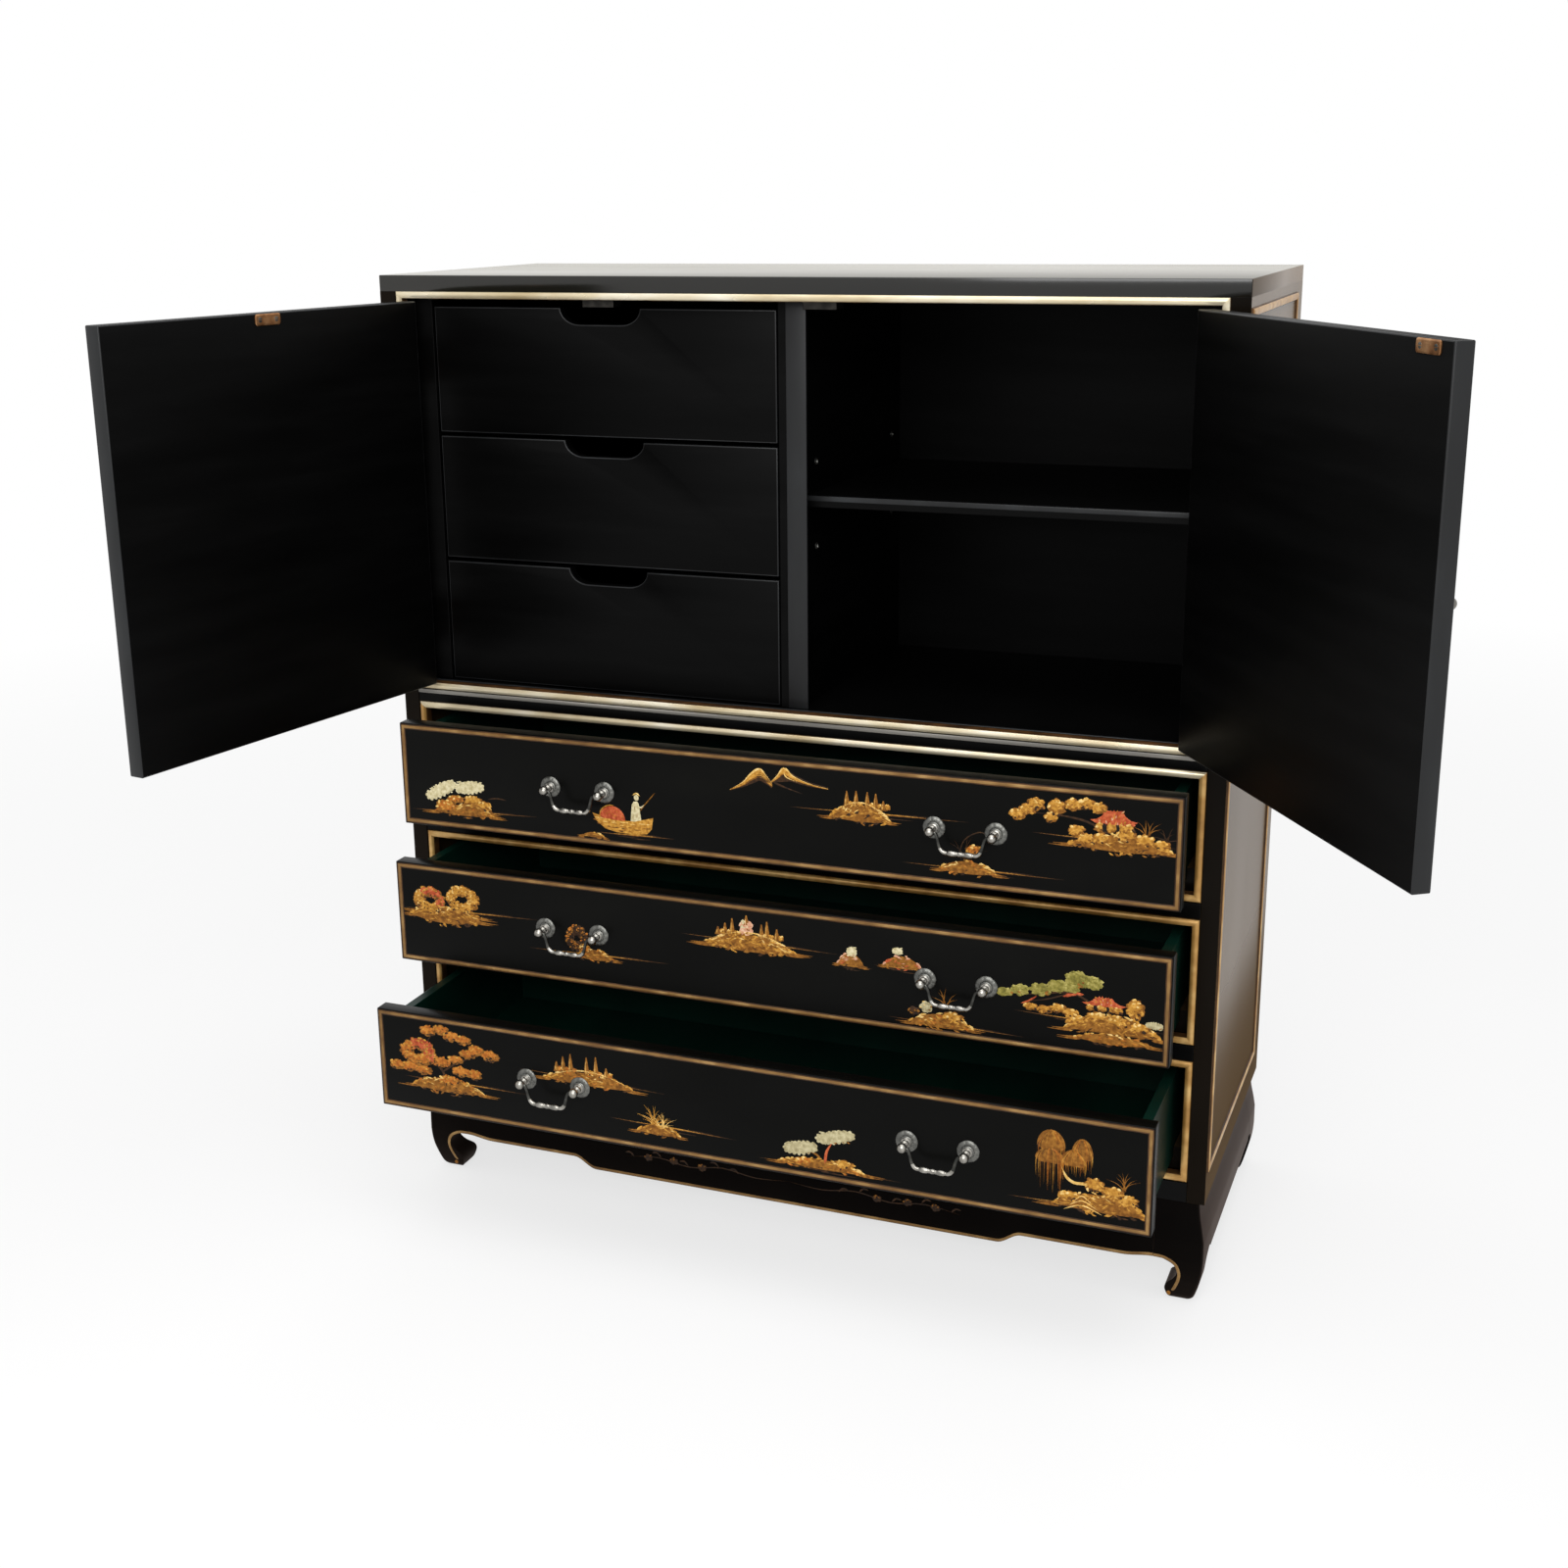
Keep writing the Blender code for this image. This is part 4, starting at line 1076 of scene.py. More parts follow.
    def boat(self, u: float, v: float) -> None:
        """A river boat with a round cabin and a standing boatman with a pole.

        Args:
            u: Its left end.
            v: The level of its keel.
        """
        self.shore(u + 4, u + 96, v - 1.6, 1.5)
        hull = [
            (0, 20), (5, 11), (15, 3.5), (29, 0.5), (52, 0), (65, 2), (70.5, 8), (72.5, 21), (67, 17.5),
            (57, 15.5), (32, 14), (17, 15), (7, 18),
        ]
        self.dome([(u + x, v + y) for x, y in hull], 0.34, Paint.GOLD, 0.75)
        for _ in range(46):
            t, share = self.hand.uniform(0.06, 0.95), self.hand.random()
            deck = 14 + 5 * (2 * t - 1) ** 2
            keel = 1 + 9 * abs(2 * t - 1) ** 3
            tone = self.pick(GILDED, share + self.hand.uniform(-0.25, 0.25))
            level = v + keel + (deck - keel) * (0.08 + 0.84 * share)
            self.dab(u + 72 * t, level, self.hand.uniform(5, 9), 1.5, 0.16 * (2 * t - 1), tone, 0.48)
        self.dome(arch(u + 24, v + 14, 15.5, 15.5), 0.50, Paint.RED, 0.7)
        for _ in range(22):
            turn, reach = math.pi * self.hand.uniform(0.08, 0.92), self.hand.uniform(0.2, 0.94)
            paint = self.hand.choice((Paint.RED, Paint.RED, Paint.ORANGE))
            x, y = u + 24 + 15.5 * reach * math.cos(turn), v + 14 + 15 * reach * math.sin(turn)
            self.dab(x, y, 4.2, 1.6, turn + 1.4, paint, 0.66)
        self.stroke([(u + 8.6, v + 15), (u + 11, v + 24), (u + 19, v + 29.6), (u + 27, v + 30)], 1.4, Paint.GOLD, 0.66)
        x = u + 52
        robe = [(-6.5, 14), (6.5, 14.5), (5, 26), (3.6, 35), (2.0, 37.5), (-2.4, 37), (-4.6, 33), (-5.6, 24)]
        self.dome([(x + a, v + b) for a, b in robe], 0.46, Paint.CREAM, 0.7)
        for a, b, length in ((-3, 20, 9), (1.5, 22, 10), (-1, 30, 7)):
            self.dab(x + a, v + b, length, 1.1, 1.5, Paint.OCHRE, 0.56)
        self.oval(x + 1.0, v + 41.4, 6.0, 6.8, Paint.CREAM, 0.50)
        self.stroke([(x - 3.4, v + 43.6), (x + 1, v + 46.2), (x + 5.2, v + 43.6)], 1.7, Paint.PALE, 0.60)
        self.stroke([(x - 1, v + 33), (x + 6, v + 31), (x + 11, v + 35)], 2.0, Paint.CREAM, 0.56)
        self.stroke([(x + 5, v + 27), (x + 11, v + 35), (x + 23, v + 49)], 1.3, Paint.OCHRE, 0.62, (0.1, 0.1))

    def grass(self, u: float, v: float, count: int, reach: float, lean: float, paint: Paint = Paint.GOLD) -> None:
        """A fan of grass blades.

        Args:
            u: Its root across.
            v: Its root up.
            count: How many blades it has.
            reach: The length of a blade.
            lean: How far the outer blades lean over, in degrees.
            paint: Its paint.
        """
        for i in range(count):
            turn = math.radians(90 + lean * (1 - 2 * i / max(count - 1, 1)) + self.hand.uniform(-5, 5))
            length = reach * self.hand.uniform(0.7, 1.05)
            x, y = length * math.cos(turn), length * math.sin(turn)
            root = u + self.hand.uniform(-3.0, 3.0)
            blade = [(root, v), (root + 0.40 * x, v + 0.62 * y), (root + x, v + y * 0.96)]
            self.stroke(blade, 1.1, paint, 0.30, (0.1, 0.7))

    def willow(self, u: float, v: float, width: float, height: float, drop: float, tones: Tones = AMBER) -> None:
        """One tier of a weeping willow: a combed dome and its hanging strands.

        Args:
            u: Its middle across.
            v: The level of its shoulders.
            width: Its width.
            height: The height of its round top.
            drop: How far its strands hang.
            tones: Its paints, from dark to light.
        """
        foot = [(u - width * 0.34, v - 4.0), (u + width * 0.34, v - 4.0)]
        self.dome(arch(u, v, width / 2, height) + foot, 0.26, tones[1], 0.8)
        count = max(9, int(width / 1.5))
        for i in range(count):
            t = (i + 0.5) / count
            x = u + width * (t - 0.5)
            foot = v - drop * self.hand.uniform(0.45, 1.0)
            start = (u + (x - u) * 0.25, v + height * 0.95)
            bend = (u + (x - u) * 0.92, v + height * 0.45 * math.sin(math.pi * t) + 1.0)
            tone = self.hand.choice((Paint.OCHRE, Paint.ORANGE, Paint.GOLD, Paint.UMBER))
            strand = [start, bend, (x + self.hand.uniform(-1, 1), foot)]
            self.stroke(strand, 1.4, tone, self.hand.uniform(0.34, 0.46), (0.15, 0.55))

    def finish(self, name: str, body: str) -> None:
        """Makes the painting a piece on a body."""
        mesh = self.shape.mesh(name, [paint.finish() for paint in PAINTS], 60.0, False)
        place_piece(name, mesh, body)


class Level(Enum):
    """The three drawers of a stack, from the top."""

    UPPER = "upper"
    MIDDLE = "middle"
    LOWER = "lower"


class Side(Enum):
    """The dresser's left and right, with their sign along x."""

    LEFT = -1
    RIGHT = 1

    @property
    def word(self) -> str:
        """The side's name in piece names."""
        return self.name.lower()


def paint_mountains(brush: Brush) -> None:
    """Two far mountains with bright crests.

    Args:
        brush: The brush on the face.
    """
    left = [(393, 78), (404, 85), (415, 95), (427, 105), (434, 99), (442, 89), (430, 93), (414, 87)]
    brush.peak(left, [(394, 79), (408, 88), (418, 98), (427, 104), (434, 98), (441, 90)], GILDED)
    right = [(437, 89), (446, 98), (454, 108), (466, 100), (482, 94), (504, 90), (484, 89), (462, 93), (448, 91)]
    brush.peak(right, [(439, 91), (447, 99), (454, 107), (464, 100), (480, 94), (502, 90)], GILDED)
    brush.stroke([(440, 92), (452, 87), (474, 81)], 3.0, Paint.UMBER, 0.24, (0.3, 0.7))
    brush.stroke([(454, 103), (457, 97), (470, 93)], 2.6, Paint.PALE, 0.56, (0.3, 0.6))


def paint_upper_front(brush: Brush) -> None:
    """The upper drawer's scene: ivory trees, a boat, mountains, pagodas, reeds and a tree over a house.

    Args:
        brush: The brush on the drawer's front.
    """
    brush.shore(10, 166, 18, 6)
    brush.bank(76, 18, 76, 12, AMBER, 0.4)
    brush.lump(54, 25, 28, 16, AMBER)
    brush.bank(90, 22, 46, 15, GILDED, 0.1)
    brush.lump(66, 34, 22, 10, AMBER)
    brush.lumps(GILDED, (88, 35, 26, 10), (102, 30, 18, 12))
    brush.cloud(48, 43, 38, 18, 14)
    brush.cloud(84, 49, 36, 17, 3)
    brush.stroke([(106, 38), (118, 40), (129, 39)], 1.8, Paint.UMBER, 0.24)
    brush.boat(233, 16.5)
    brush.bank(234, 9, 28, 6, GILDED, 0.3)
    paint_mountains(brush)
    brush.shore(460, 650, 66, 3)
    brush.pavilions(503, 570, 60, 21, ((522, 91), (532, 92), (544, 92), (553, 91), (561, 84)))
    for u, v in ((533, 67), (524, 64), (545, 65)):
        brush.dab(u, v, 5.5, 3.4, 0.3, Paint.UMBER, 0.56)
    brush.shore(582, 748, 20, 0)
    brush.bank(650, 17, 62, 13, AMBER, 0.4)
    brush.grass(646, 28, 7, 30, 60, Paint.UMBER)
    brush.stroke([(640, 30), (646, 50), (662, 60), (672, 55)], 1.4, Paint.UMBER, 0.30)
    brush.lump(656, 41, 18, 11, AMBER)
    brush.shore(716, 858, 66, -2)
    brush.trunk([(790, 72), (770, 82), (744, 86), (712, 86)], 2.6)
    brush.lumps(
        GILDED, (700, 83, 18, 13), (709, 89, 18, 13), (718, 95, 20, 15), (739, 94, 19, 19), (733, 83, 15, 12),
        (755, 98, 19, 14), (768, 100, 20, 12), (781, 97, 18, 12),
    )
    brush.bank(802, 58, 104, 16, GILDED, 0.45)
    brush.house(795, 73, 44, 24)
    brush.lumps(
        GILDED, (759, 72, 18, 13), (768, 64, 20, 14), (784, 66, 20, 15), (808, 72, 22, 15), (826, 69, 22, 13),
        (843, 66, 18, 10),
    )
    brush.grass(828, 74, 7, 20, 55, Paint.OCHRE)
    brush.grass(846, 70, 6, 18, 75, Paint.UMBER)


def paint_middle_front(brush: Brush) -> None:
    """The middle drawer's scene: round trees, islets, pagodas, two hills and a green pine over a house.

    Args:
        brush: The brush on the drawer's front.
    """
    brush.shore(6, 174, 63, 5)
    brush.bank(60, 56, 94, 14, GILDED, 0.75)
    brush.wreath(41, 75, 42, 31, 0.26, RUSSET, GILDED)
    brush.wreath(82, 80, 44, 32, 0.28, GILDED, GILDED)
    brush.bank(62, 61, 92, 9, GILDED, 0.2)
    brush.shore(164, 330, 35, 3)
    brush.wreath(222, 53, 29, 31, 0.24, DUSKY, DUSKY)
    brush.bank(243, 33, 48, 11, AMBER, 0.5)
    brush.lump(231, 42, 16, 12, AMBER)
    brush.shore(346, 520, 75, -1)
    brush.pavilions(370, 476, 68, 20, ((388, 90), (396, 95), (404, 101), (437, 98), (443, 102), (454, 95)))
    brush.lump(420, 90, 17, 20, BLUSH)
    brush.spire(420, 92, 104, Paint.PINK)
    brush.bank(423, 67, 100, 12, GILDED, 0.5)
    for u, v, w, h in ((535, 64, 30, 15), (590, 69, 42, 14)):
        brush.shore(u - w * 0.7, u + w * 0.8, v - 1, 0)
        brush.bank(u, v, w, h, ROSY, 0.35)
    brush.cloud(536, 79, 11, 12)
    brush.cloud(585, 86, 11, 9)
    brush.shore(576, 718, 14, -2)
    brush.bank(632, 11, 70, 15, AMBER, 0.35)
    brush.lump(616, 30, 15, 14, (Paint.OCHRE, Paint.BONE, Paint.BONE, Paint.PALE), 2.4)
    brush.lump(603, 24, 14, 10, DUSKY)
    brush.lump(644, 22, 26, 14, GILDED)
    brush.grass(636, 34, 6, 20, 60, Paint.OCHRE)
    brush.shore(708, 860, 40, -4)
    brush.trunk([(800, 46), (780, 60), (762, 66), (730, 60), (700, 57)], 2.6)
    brush.trunk([(760, 64), (740, 56), (716, 50)], 1.8)
    brush.lumps(
        PINE, (697, 58, 20, 10), (713, 62, 20, 13), (733, 65, 24, 15), (751, 71, 24, 15), (770, 81, 28, 19),
        (786, 79, 22, 15), (764, 71, 20, 11),
    )
    brush.lumps(GILDED, (724, 46, 16, 9), (738, 45, 18, 10), (752, 48, 18, 11), (764, 45, 18, 10))
    brush.stroke([(756, 61), (766, 65), (777, 66)], 4.0, Paint.RED, 0.4)
    brush.stroke([(714, 48), (722, 52), (730, 58)], 2.0, Paint.RED, 0.3)
    brush.house(797, 50, 42, 16)
    brush.bank(806, 28, 98, 22, GILDED, 0.2)
    brush.bank(807, 20, 80, 9, AMBER, 0.6)
    brush.lump(828, 57, 20, 24, GILDED)
    brush.cloud(847, 43, 17, 9, 0, CHALK)
    brush.lumps(GILDED, (770, 38, 24, 14), (790, 44, 22, 12), (812, 42, 24, 14), (832, 38, 22, 12))


def paint_lower_front(brush: Brush) -> None:
    """The lower drawer's scene: an autumn tree, pagodas, a reed bank, ivory trees and a weeping willow.

    Args:
        brush: The brush on the drawer's front.
    """
    brush.shore(30, 184, 40, 1)
    brush.trunk([(84, 34), (80, 52), (66, 66), (62, 84), (74, 100)], 3.6)
    brush.trunk([(80, 52), (100, 66), (132, 80)], 2.6)
    brush.lumps(
        AUTUMN, (63, 98, 22, 14), (80, 101, 22, 13), (92, 95, 22, 13), (108, 93, 22, 12), (123, 83, 22, 14),
        (140, 79, 24, 15), (112, 77, 22, 12),
    )
    brush.wreath(50, 71, 48, 32, 0.22, RUSSET, AUTUMN)
    brush.lumps(
        AUTUMN, (22, 52, 22, 13), (38, 52, 24, 14), (56, 50, 22, 13), (78, 63, 26, 13), (96, 68, 22, 11),
        (102, 55, 24, 14), (119, 54, 22, 13),
    )
    brush.bank(86, 31, 92, 16, AMBER, 0.45)
    brush.lump(88, 42, 30, 13, AUTUMN)
    brush.shore(176, 348, 71, -3)
    brush.pavilions(203, 314, 65, 17, ((221, 88), (229, 95), (238, 99), (257, 98), (268, 100), (280, 89)), AMBER)
    brush.shore(282, 428, 31, -2)
    brush.grass(336, 30, 15, 24, 76)
    brush.grass(344, 28, 11, 20, 66, Paint.PALE)
    brush.bank(340, 21, 52, 12, GILDED, 0.35)
    brush.shore(454, 608, 14, -1)
    brush.trunk([(524, 20), (518, 28), (504, 32)], 2.8, Paint.OCHRE)
    brush.trunk([(527, 20), (529, 34), (536, 46)], 3.4, Paint.RED)
    brush.cloud(500, 33, 37, 18, 5, CHALK)
    brush.cloud(538, 51, 42, 17, 8, CHALK)
    brush.bank(523, 14, 98, 11, AMBER, 0.4)
    brush.lump(548, 21, 24, 13, GILDED)
    brush.lump(505, 19, 24, 9, AMBER)
    brush.shore(720, 860, 20, 3)
    brush.willow(761, 66, 30, 12, 36, GILDED)
    brush.willow(762, 80, 29, 18, 14, AMBER)
    brush.willow(785, 66, 26, 14, 18, GILDED)
    brush.willow(793, 74, 22, 19, 20, AMBER)
    brush.stroke([(772, 62), (778, 50), (786, 45), (797, 45), (800, 38)], 3.4, Paint.PALE, 0.46, (0.3, 0.1))
    brush.bank(812, 19, 98, 20, GILDED, 0.3)
    brush.lumps(GILDED, (806, 46, 22, 17), (824, 40, 24, 16), (841, 34, 20, 13), (782, 30, 26, 12))
    brush.grass(836, 44, 8, 22, 55, Paint.OCHRE)
    for lift in (0, 5, 10):
        brush.stroke([(776 + lift, 15 + lift), (794, 22 + lift), (814 - lift, 15 + lift)], 1.8, Paint.PALE, 0.56)


DOOR_PLACES: dict[Side, tuple[tuple[float, float, float], ...]] = {
    Side.LEFT: ((20.0, 24.0, 1.7), (186.0, 128.0, 1.5), (30.0, 226.0, 1.5), (-380.0, 190.0, 1.5)),
    Side.RIGHT: ((140.0, 30.0, 1.5), (52.0, 112.0, 1.4), (214.0, 224.0, 1.3), (-540.0, 196.0, 1.5)),
}


def paint_door(brush: Brush, side: Side) -> None:
    """A door's scene: a lake with a pine and house, a boat, pagodas and far mountains.

    Args:
        brush: The brush on the door's outer face.
        side: The door's side, whose motifs have their own places and sizes.
    """
    grove, boat, islet, hills = DOOR_PLACES[side]
    brush.move(*grove)
    brush.shore(6, 180, 18, 2)
    brush.trunk([(52, 26), (46, 44), (56, 58), (84, 64)], 4.0, Paint.RED)
    brush.trunk([(46, 44), (32, 56), (24, 70)], 3.0, Paint.RED)
    brush.lumps(PINE, (24, 72, 28, 15), (40, 80, 26, 14), (58, 64, 28, 14), (80, 68, 30, 14), (98, 61, 22, 12))
    brush.house(86, 26, 44, 22)
    brush.bank(62, 14, 110, 15, GILDED, 0.4)
    brush.lumps(GILDED, (30, 26, 24, 13), (52, 30, 22, 12), (108, 26, 22, 12))
    brush.grass(114, 26, 9, 20, 60)
    brush.move(*boat)
    brush.boat(0, 0)
    brush.move(*islet)
    brush.shore(-4, 150, 8, 1)
    brush.pavilions(16, 118, 4, 20, ((40, 38), (52, 44), (66, 46), (82, 40)))
    brush.move(*hills)
    paint_mountains(brush)


SCENES: dict[Level, Callable[[Brush], None]] = {
    Level.UPPER: paint_upper_front,
    Level.MIDDLE: paint_middle_front,
    Level.LOWER: paint_lower_front,
}


@dataclass
class BailHandle:
    """A bail handle: two rosettes with ball posts, and a swan-neck bail with a beaded grip."""

    name: str
    face: Face
    across: float
    up: float
    carrier: str
    front_node: str
    bail_node: str
    bail_body: str
    spacing: float = 64.0
    rosette: float = 11.8
    ball: float = 5.2
    pivot: float = 16.0
    petals: int = 12
    petal_rise: float = 0.32
    drop: float = 20.0
    grip: float = 13.0
    neck: float = 1.9
    bright_bend: int = 12
    swells: tuple[tuple[float, float, float], ...] = ((8.6, 4.6, 1.15), (3.6, 0.8, 0.6), (0.0, 2.8, 0.85))

    def rosette_mesh(self) -> bpy.types.Mesh:
        """The petalled rosette.

        Returns:
            The mesh, made once for all handles.
        """
        found = bpy.data.meshes.get("petalled_rosette")
        if found:
            return found
        edge = self.rosette
        rises = (
            (0.97, -0.2), (1.0, 0.4), (0.97, 0.9), (0.90, 1.4), (0.80, 1.9), (0.70, 2.2),
            (0.60, 2.3), (0.55, 2.2), (0.52, 2.5), (0.46, 3.0), (0.34, 3.2), (0.2, 3.3),
        )
        profile = [(edge * share, rise) for share, rise in rises]

        def flute(radius: float, turn: float) -> float:
            """The petals' swell."""
            share = radius / edge
            return self.petal_rise * abs(math.cos(self.petals * turn / 2)) if 0.58 < share < 0.99 else 0.0

        return turned_mesh("petalled_rosette", profile, 72, PEWTER, flute)

    def post_mesh(self) -> bpy.types.Mesh:
        """The collared neck and ball.

        Returns:
            The mesh, made once for all handles.
        """
        found = bpy.data.meshes.get("ball_post")
        if found:
            return found
        profile = [
            (5.2, 2.6), (5.4, 3.2), (5.0, 3.9), (3.8, 4.4), (3.3, 5.2),
            (3.2, 7.4), (3.6, 8.0), (4.4, 8.5), (4.5, 9.2), (4.0, 9.8),
        ]
        for i in range(3, 15):
            turn = math.pi * (1 - i / 15)
            profile.append((self.ball * math.sin(turn), self.pivot + self.ball * math.cos(turn)))
        profile.append((0.4, self.pivot + self.ball))
        return turned_mesh("ball_post", profile, 28, BRIGHT_PEWTER)

    def grip_radius(self, x: float) -> float:
        """The radius of the grip: a barrel at each end, and beads between them.

        Args:
            x: The place from its middle.

        Returns:
            The radius.
        """
        radius = self.neck
        for middle, half, swell in self.swells:
            off = (abs(x) - middle) / half
            if abs(off) < 1:
                radius = max(radius, self.neck + swell * math.sqrt(1 - off * off))
        return radius

    def bail_mesh(self) -> bpy.types.Mesh:
        """The bail as a bent rod about its pivot line.

        Returns:
            The mesh, made once for all handles.
        """
        found = bpy.data.meshes.get("swan_neck_bail")
        if found:
            return found
        arm = [
            (-31.5, 0.0, 1.4), (-28.2, 0.1, 1.5), (-26.2, -0.5, 1.6), (-24.8, -2.6, 1.7), (-23.6, -6.2, 1.7),
            (-22.6, -10.2, 1.8), (-21.4, -14.2, 2.0), (-19.4, -17.6, 2.3), (-16.6, -19.6, 2.3),
            (-13.6, -self.drop, 2.0),
        ]
        bend = smooth_route(arm, 4)
        route = list(bend)
        steps = 72
        for i in range(steps + 1):
            x = self.grip * (2 * i / steps - 1)
            route.append((x, -self.drop, self.grip_radius(x)))
        route += [(-x, z, r) for x, z, r in reversed(bend)]
        shape = Shape()
        rings = []
        deep = Vector((0.0, 1.0, 0.0))
        for i, (x, z, radius) in enumerate(route):
            along, middle = heading(route, i), Vector((x, 0.0, z))
            side = Vector((along.x, 0.0, along.y)).cross(deep)
            turns = [2 * math.pi * k / 14 for k in range(14)]
            rings.append(shape.ring([
                (middle + (side * math.cos(turn) + deep * math.sin(turn)) * radius) * MM for turn in turns
            ]))
        dull = len(bend) - self.bright_bend
        shape.bridge(rings, True, [0] * dull + [1] * (steps + 2 * self.bright_bend) + [0])
        shape.cap(list(reversed(rings[0])))
        shape.cap(rings[-1])
        return shape.mesh("swan_neck_bail", [DULL_PEWTER, BRIGHT_PEWTER], 60.0)

    def build(self) -> None:
        """Stands the rosettes and posts on the face, and hangs the bail between them."""
        for side in Side:
            at = self.face.matrix(self.across + side.value * self.spacing / 2, self.up)
            for word, mesh in (("rosette", self.rosette_mesh()), ("post", self.post_mesh())):
                place_piece(f"{self.name}_{side.word}_{word}", mesh, self.carrier, [self.front_node], at)
        at = self.face.matrix(self.across, self.up) @ Matrix.Translation((0, -self.pivot * MM, 0))
        place_piece(f"{self.name}_rod", self.bail_mesh(), self.bail_body, [self.bail_node], at)


def draw_edge_line(node: str, body: str, face: Face, size: Point, inset: float) -> None:
    """Draws a raised gold line with darkened edges round a front.

    Args:
        node: The front's name.
        body: The body that carries it.
        face: Its face.
        size: Its width and height in millimetres.
        inset: How far in from its edges the line runs.
    """
    profile = [(0.0, -0.05), (0.10, 0.10), (1.2, 0.16), (1.3, 0.22)]
    middle = 8
    for i in range(middle + 1):
        t = i / middle
        profile.append((1.4 + (LINE_WIDTH - 2.8) * t, 0.22 + 0.30 * math.sin(math.pi * t)))
    profile += [(LINE_WIDTH - place, out) for place, out in ((1.3, 0.22), (1.2, 0.16), (0.10, 0.10), (0.0, -0.05))]
    shape = Shape()
    box = (inset, inset, size[0] - inset, size[1] - inset)
    moulding(shape, face, box, profile, 1.6, [1, 1, 1] + [0] * (middle + 2) + [1, 1, 1])
    name = f"{node}_gold_line"
    place_piece(name, shape.mesh(name, [LINE_GOLD, GILT_EDGE_AND_SHADE], 50.0), body)


@dataclass
class WideDrawer:
    """A wide drawer: its lacquered front with a gold line, a painted scene and two handles, and its box."""

    level: Level
    front_thick: float = 0.018
    rounding: float = 0.0011
    line_inset: float = 1.3
    handle_places: tuple[float, float] = (216.5, 646.5)
    handle_up: float = 60.0

    def build(self) -> None:
        """Builds and dresses the drawer."""
        word = self.level.value
        body = f"{word}_drawer"
        node, box = f"{body}_front", f"{body}_box"
        low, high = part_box(node)
        face_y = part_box(box)[0].y - SEAM - self.front_thick
        low.y, high.y = face_y, face_y + self.front_thick
        panel = slab_mesh(f"{node}_panel", low, high, self.rounding, FRONT_LACQUER)
        place_piece(f"{node}_panel", panel, body, [node])
        face = Face.front(low.copy())
        width, height = (high.x - low.x) / MM, (high.z - low.z) / MM
        draw_edge_line(node, body, face, (width, height), self.line_inset)
        margin = self.line_inset + LINE_WIDTH
        brush = Brush(face, DRAWER_SEED + list(Level).index(self.level), (margin, width - margin))
        SCENES[self.level](brush)
        brush.finish(f"{node}_scene", body)
        for side, across in zip(Side, self.handle_places):
            name = f"{body}_{side.word}_bail"
            BailHandle(name, face, across, self.handle_up, body, node, name, f"{word}_{side.word}_bail").build()
        dress_node(box, GREEN, FITTING_ROUNDING)


@dataclass
class InnerDrawer:
    """A drawer behind the left door, in satin black, with a scooped finger notch in its front."""

    level: Level
    rounding: float = 1.2
    notch_half: float = 46.0
    notch_flat: float = 24.0
    notch_depth: float = 17.0
    notch_steps: int = 8

    def outline(self, width: float, height: float) -> list[Point]:
        """The front's outline with its notch, anticlockwise.

        Args:
            width: The front's width.
            height: The front's height.

        Returns:
            The outline in millimetres.
        """
        loop = [(0.0, 0.0), (width, 0.0), (width, height)]
        reach = self.notch_half - self.notch_flat
        scoop = []
        for i in range(self.notch_steps + 1):
            turn = math.pi / 2 * i / self.notch_steps
            scoop.append((self.notch_half - reach * (1 - math.cos(turn)), height - self.notch_depth * math.sin(turn)))
        loop += [(width / 2 + x, y) for x, y in scoop]
        loop += [(width / 2 - x, y) for x, y in reversed(scoop)]
        return loop + [(0.0, height)]

    def build(self) -> None:
        """Builds the front and dresses the box."""
        body = f"inner_{self.level.value}_drawer"
        node = f"{body}_front"
        low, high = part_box(node)
        face = Face.front(low.copy())
        loop = self.outline((high.x - low.x) / MM, (high.z - low.z) / MM)
        deep, soft = (high.y - low.y) / MM, self.rounding
        shape = Shape()
        rings = []
        steps = ((soft, -deep), (0.0, soft - deep), (0.0, -soft), (0.3 * soft, -0.3 * soft), (soft, 0.0))
        for inset, out in steps:
            rings.append(shape.ring([face.point(u, v, out) for u, v in inset_loop(loop, inset)]))
        # The rounded front edges take the lighter satin as a painted highlight.
        shape.bridge(rings, True, (0, 0, 1, 1))
        shape.cap(list(reversed(rings[0])))
        shape.cap(rings[-1])
        mesh = shape.mesh(f"{node}_board", [SATIN, SATIN_EDGE_HIGHLIGHT], EDGE_CREASE)
        place_piece(f"{node}_board", mesh, body, [node])
        dress_node(f"{body}_box", SATIN, self.rounding / 2 * MM)


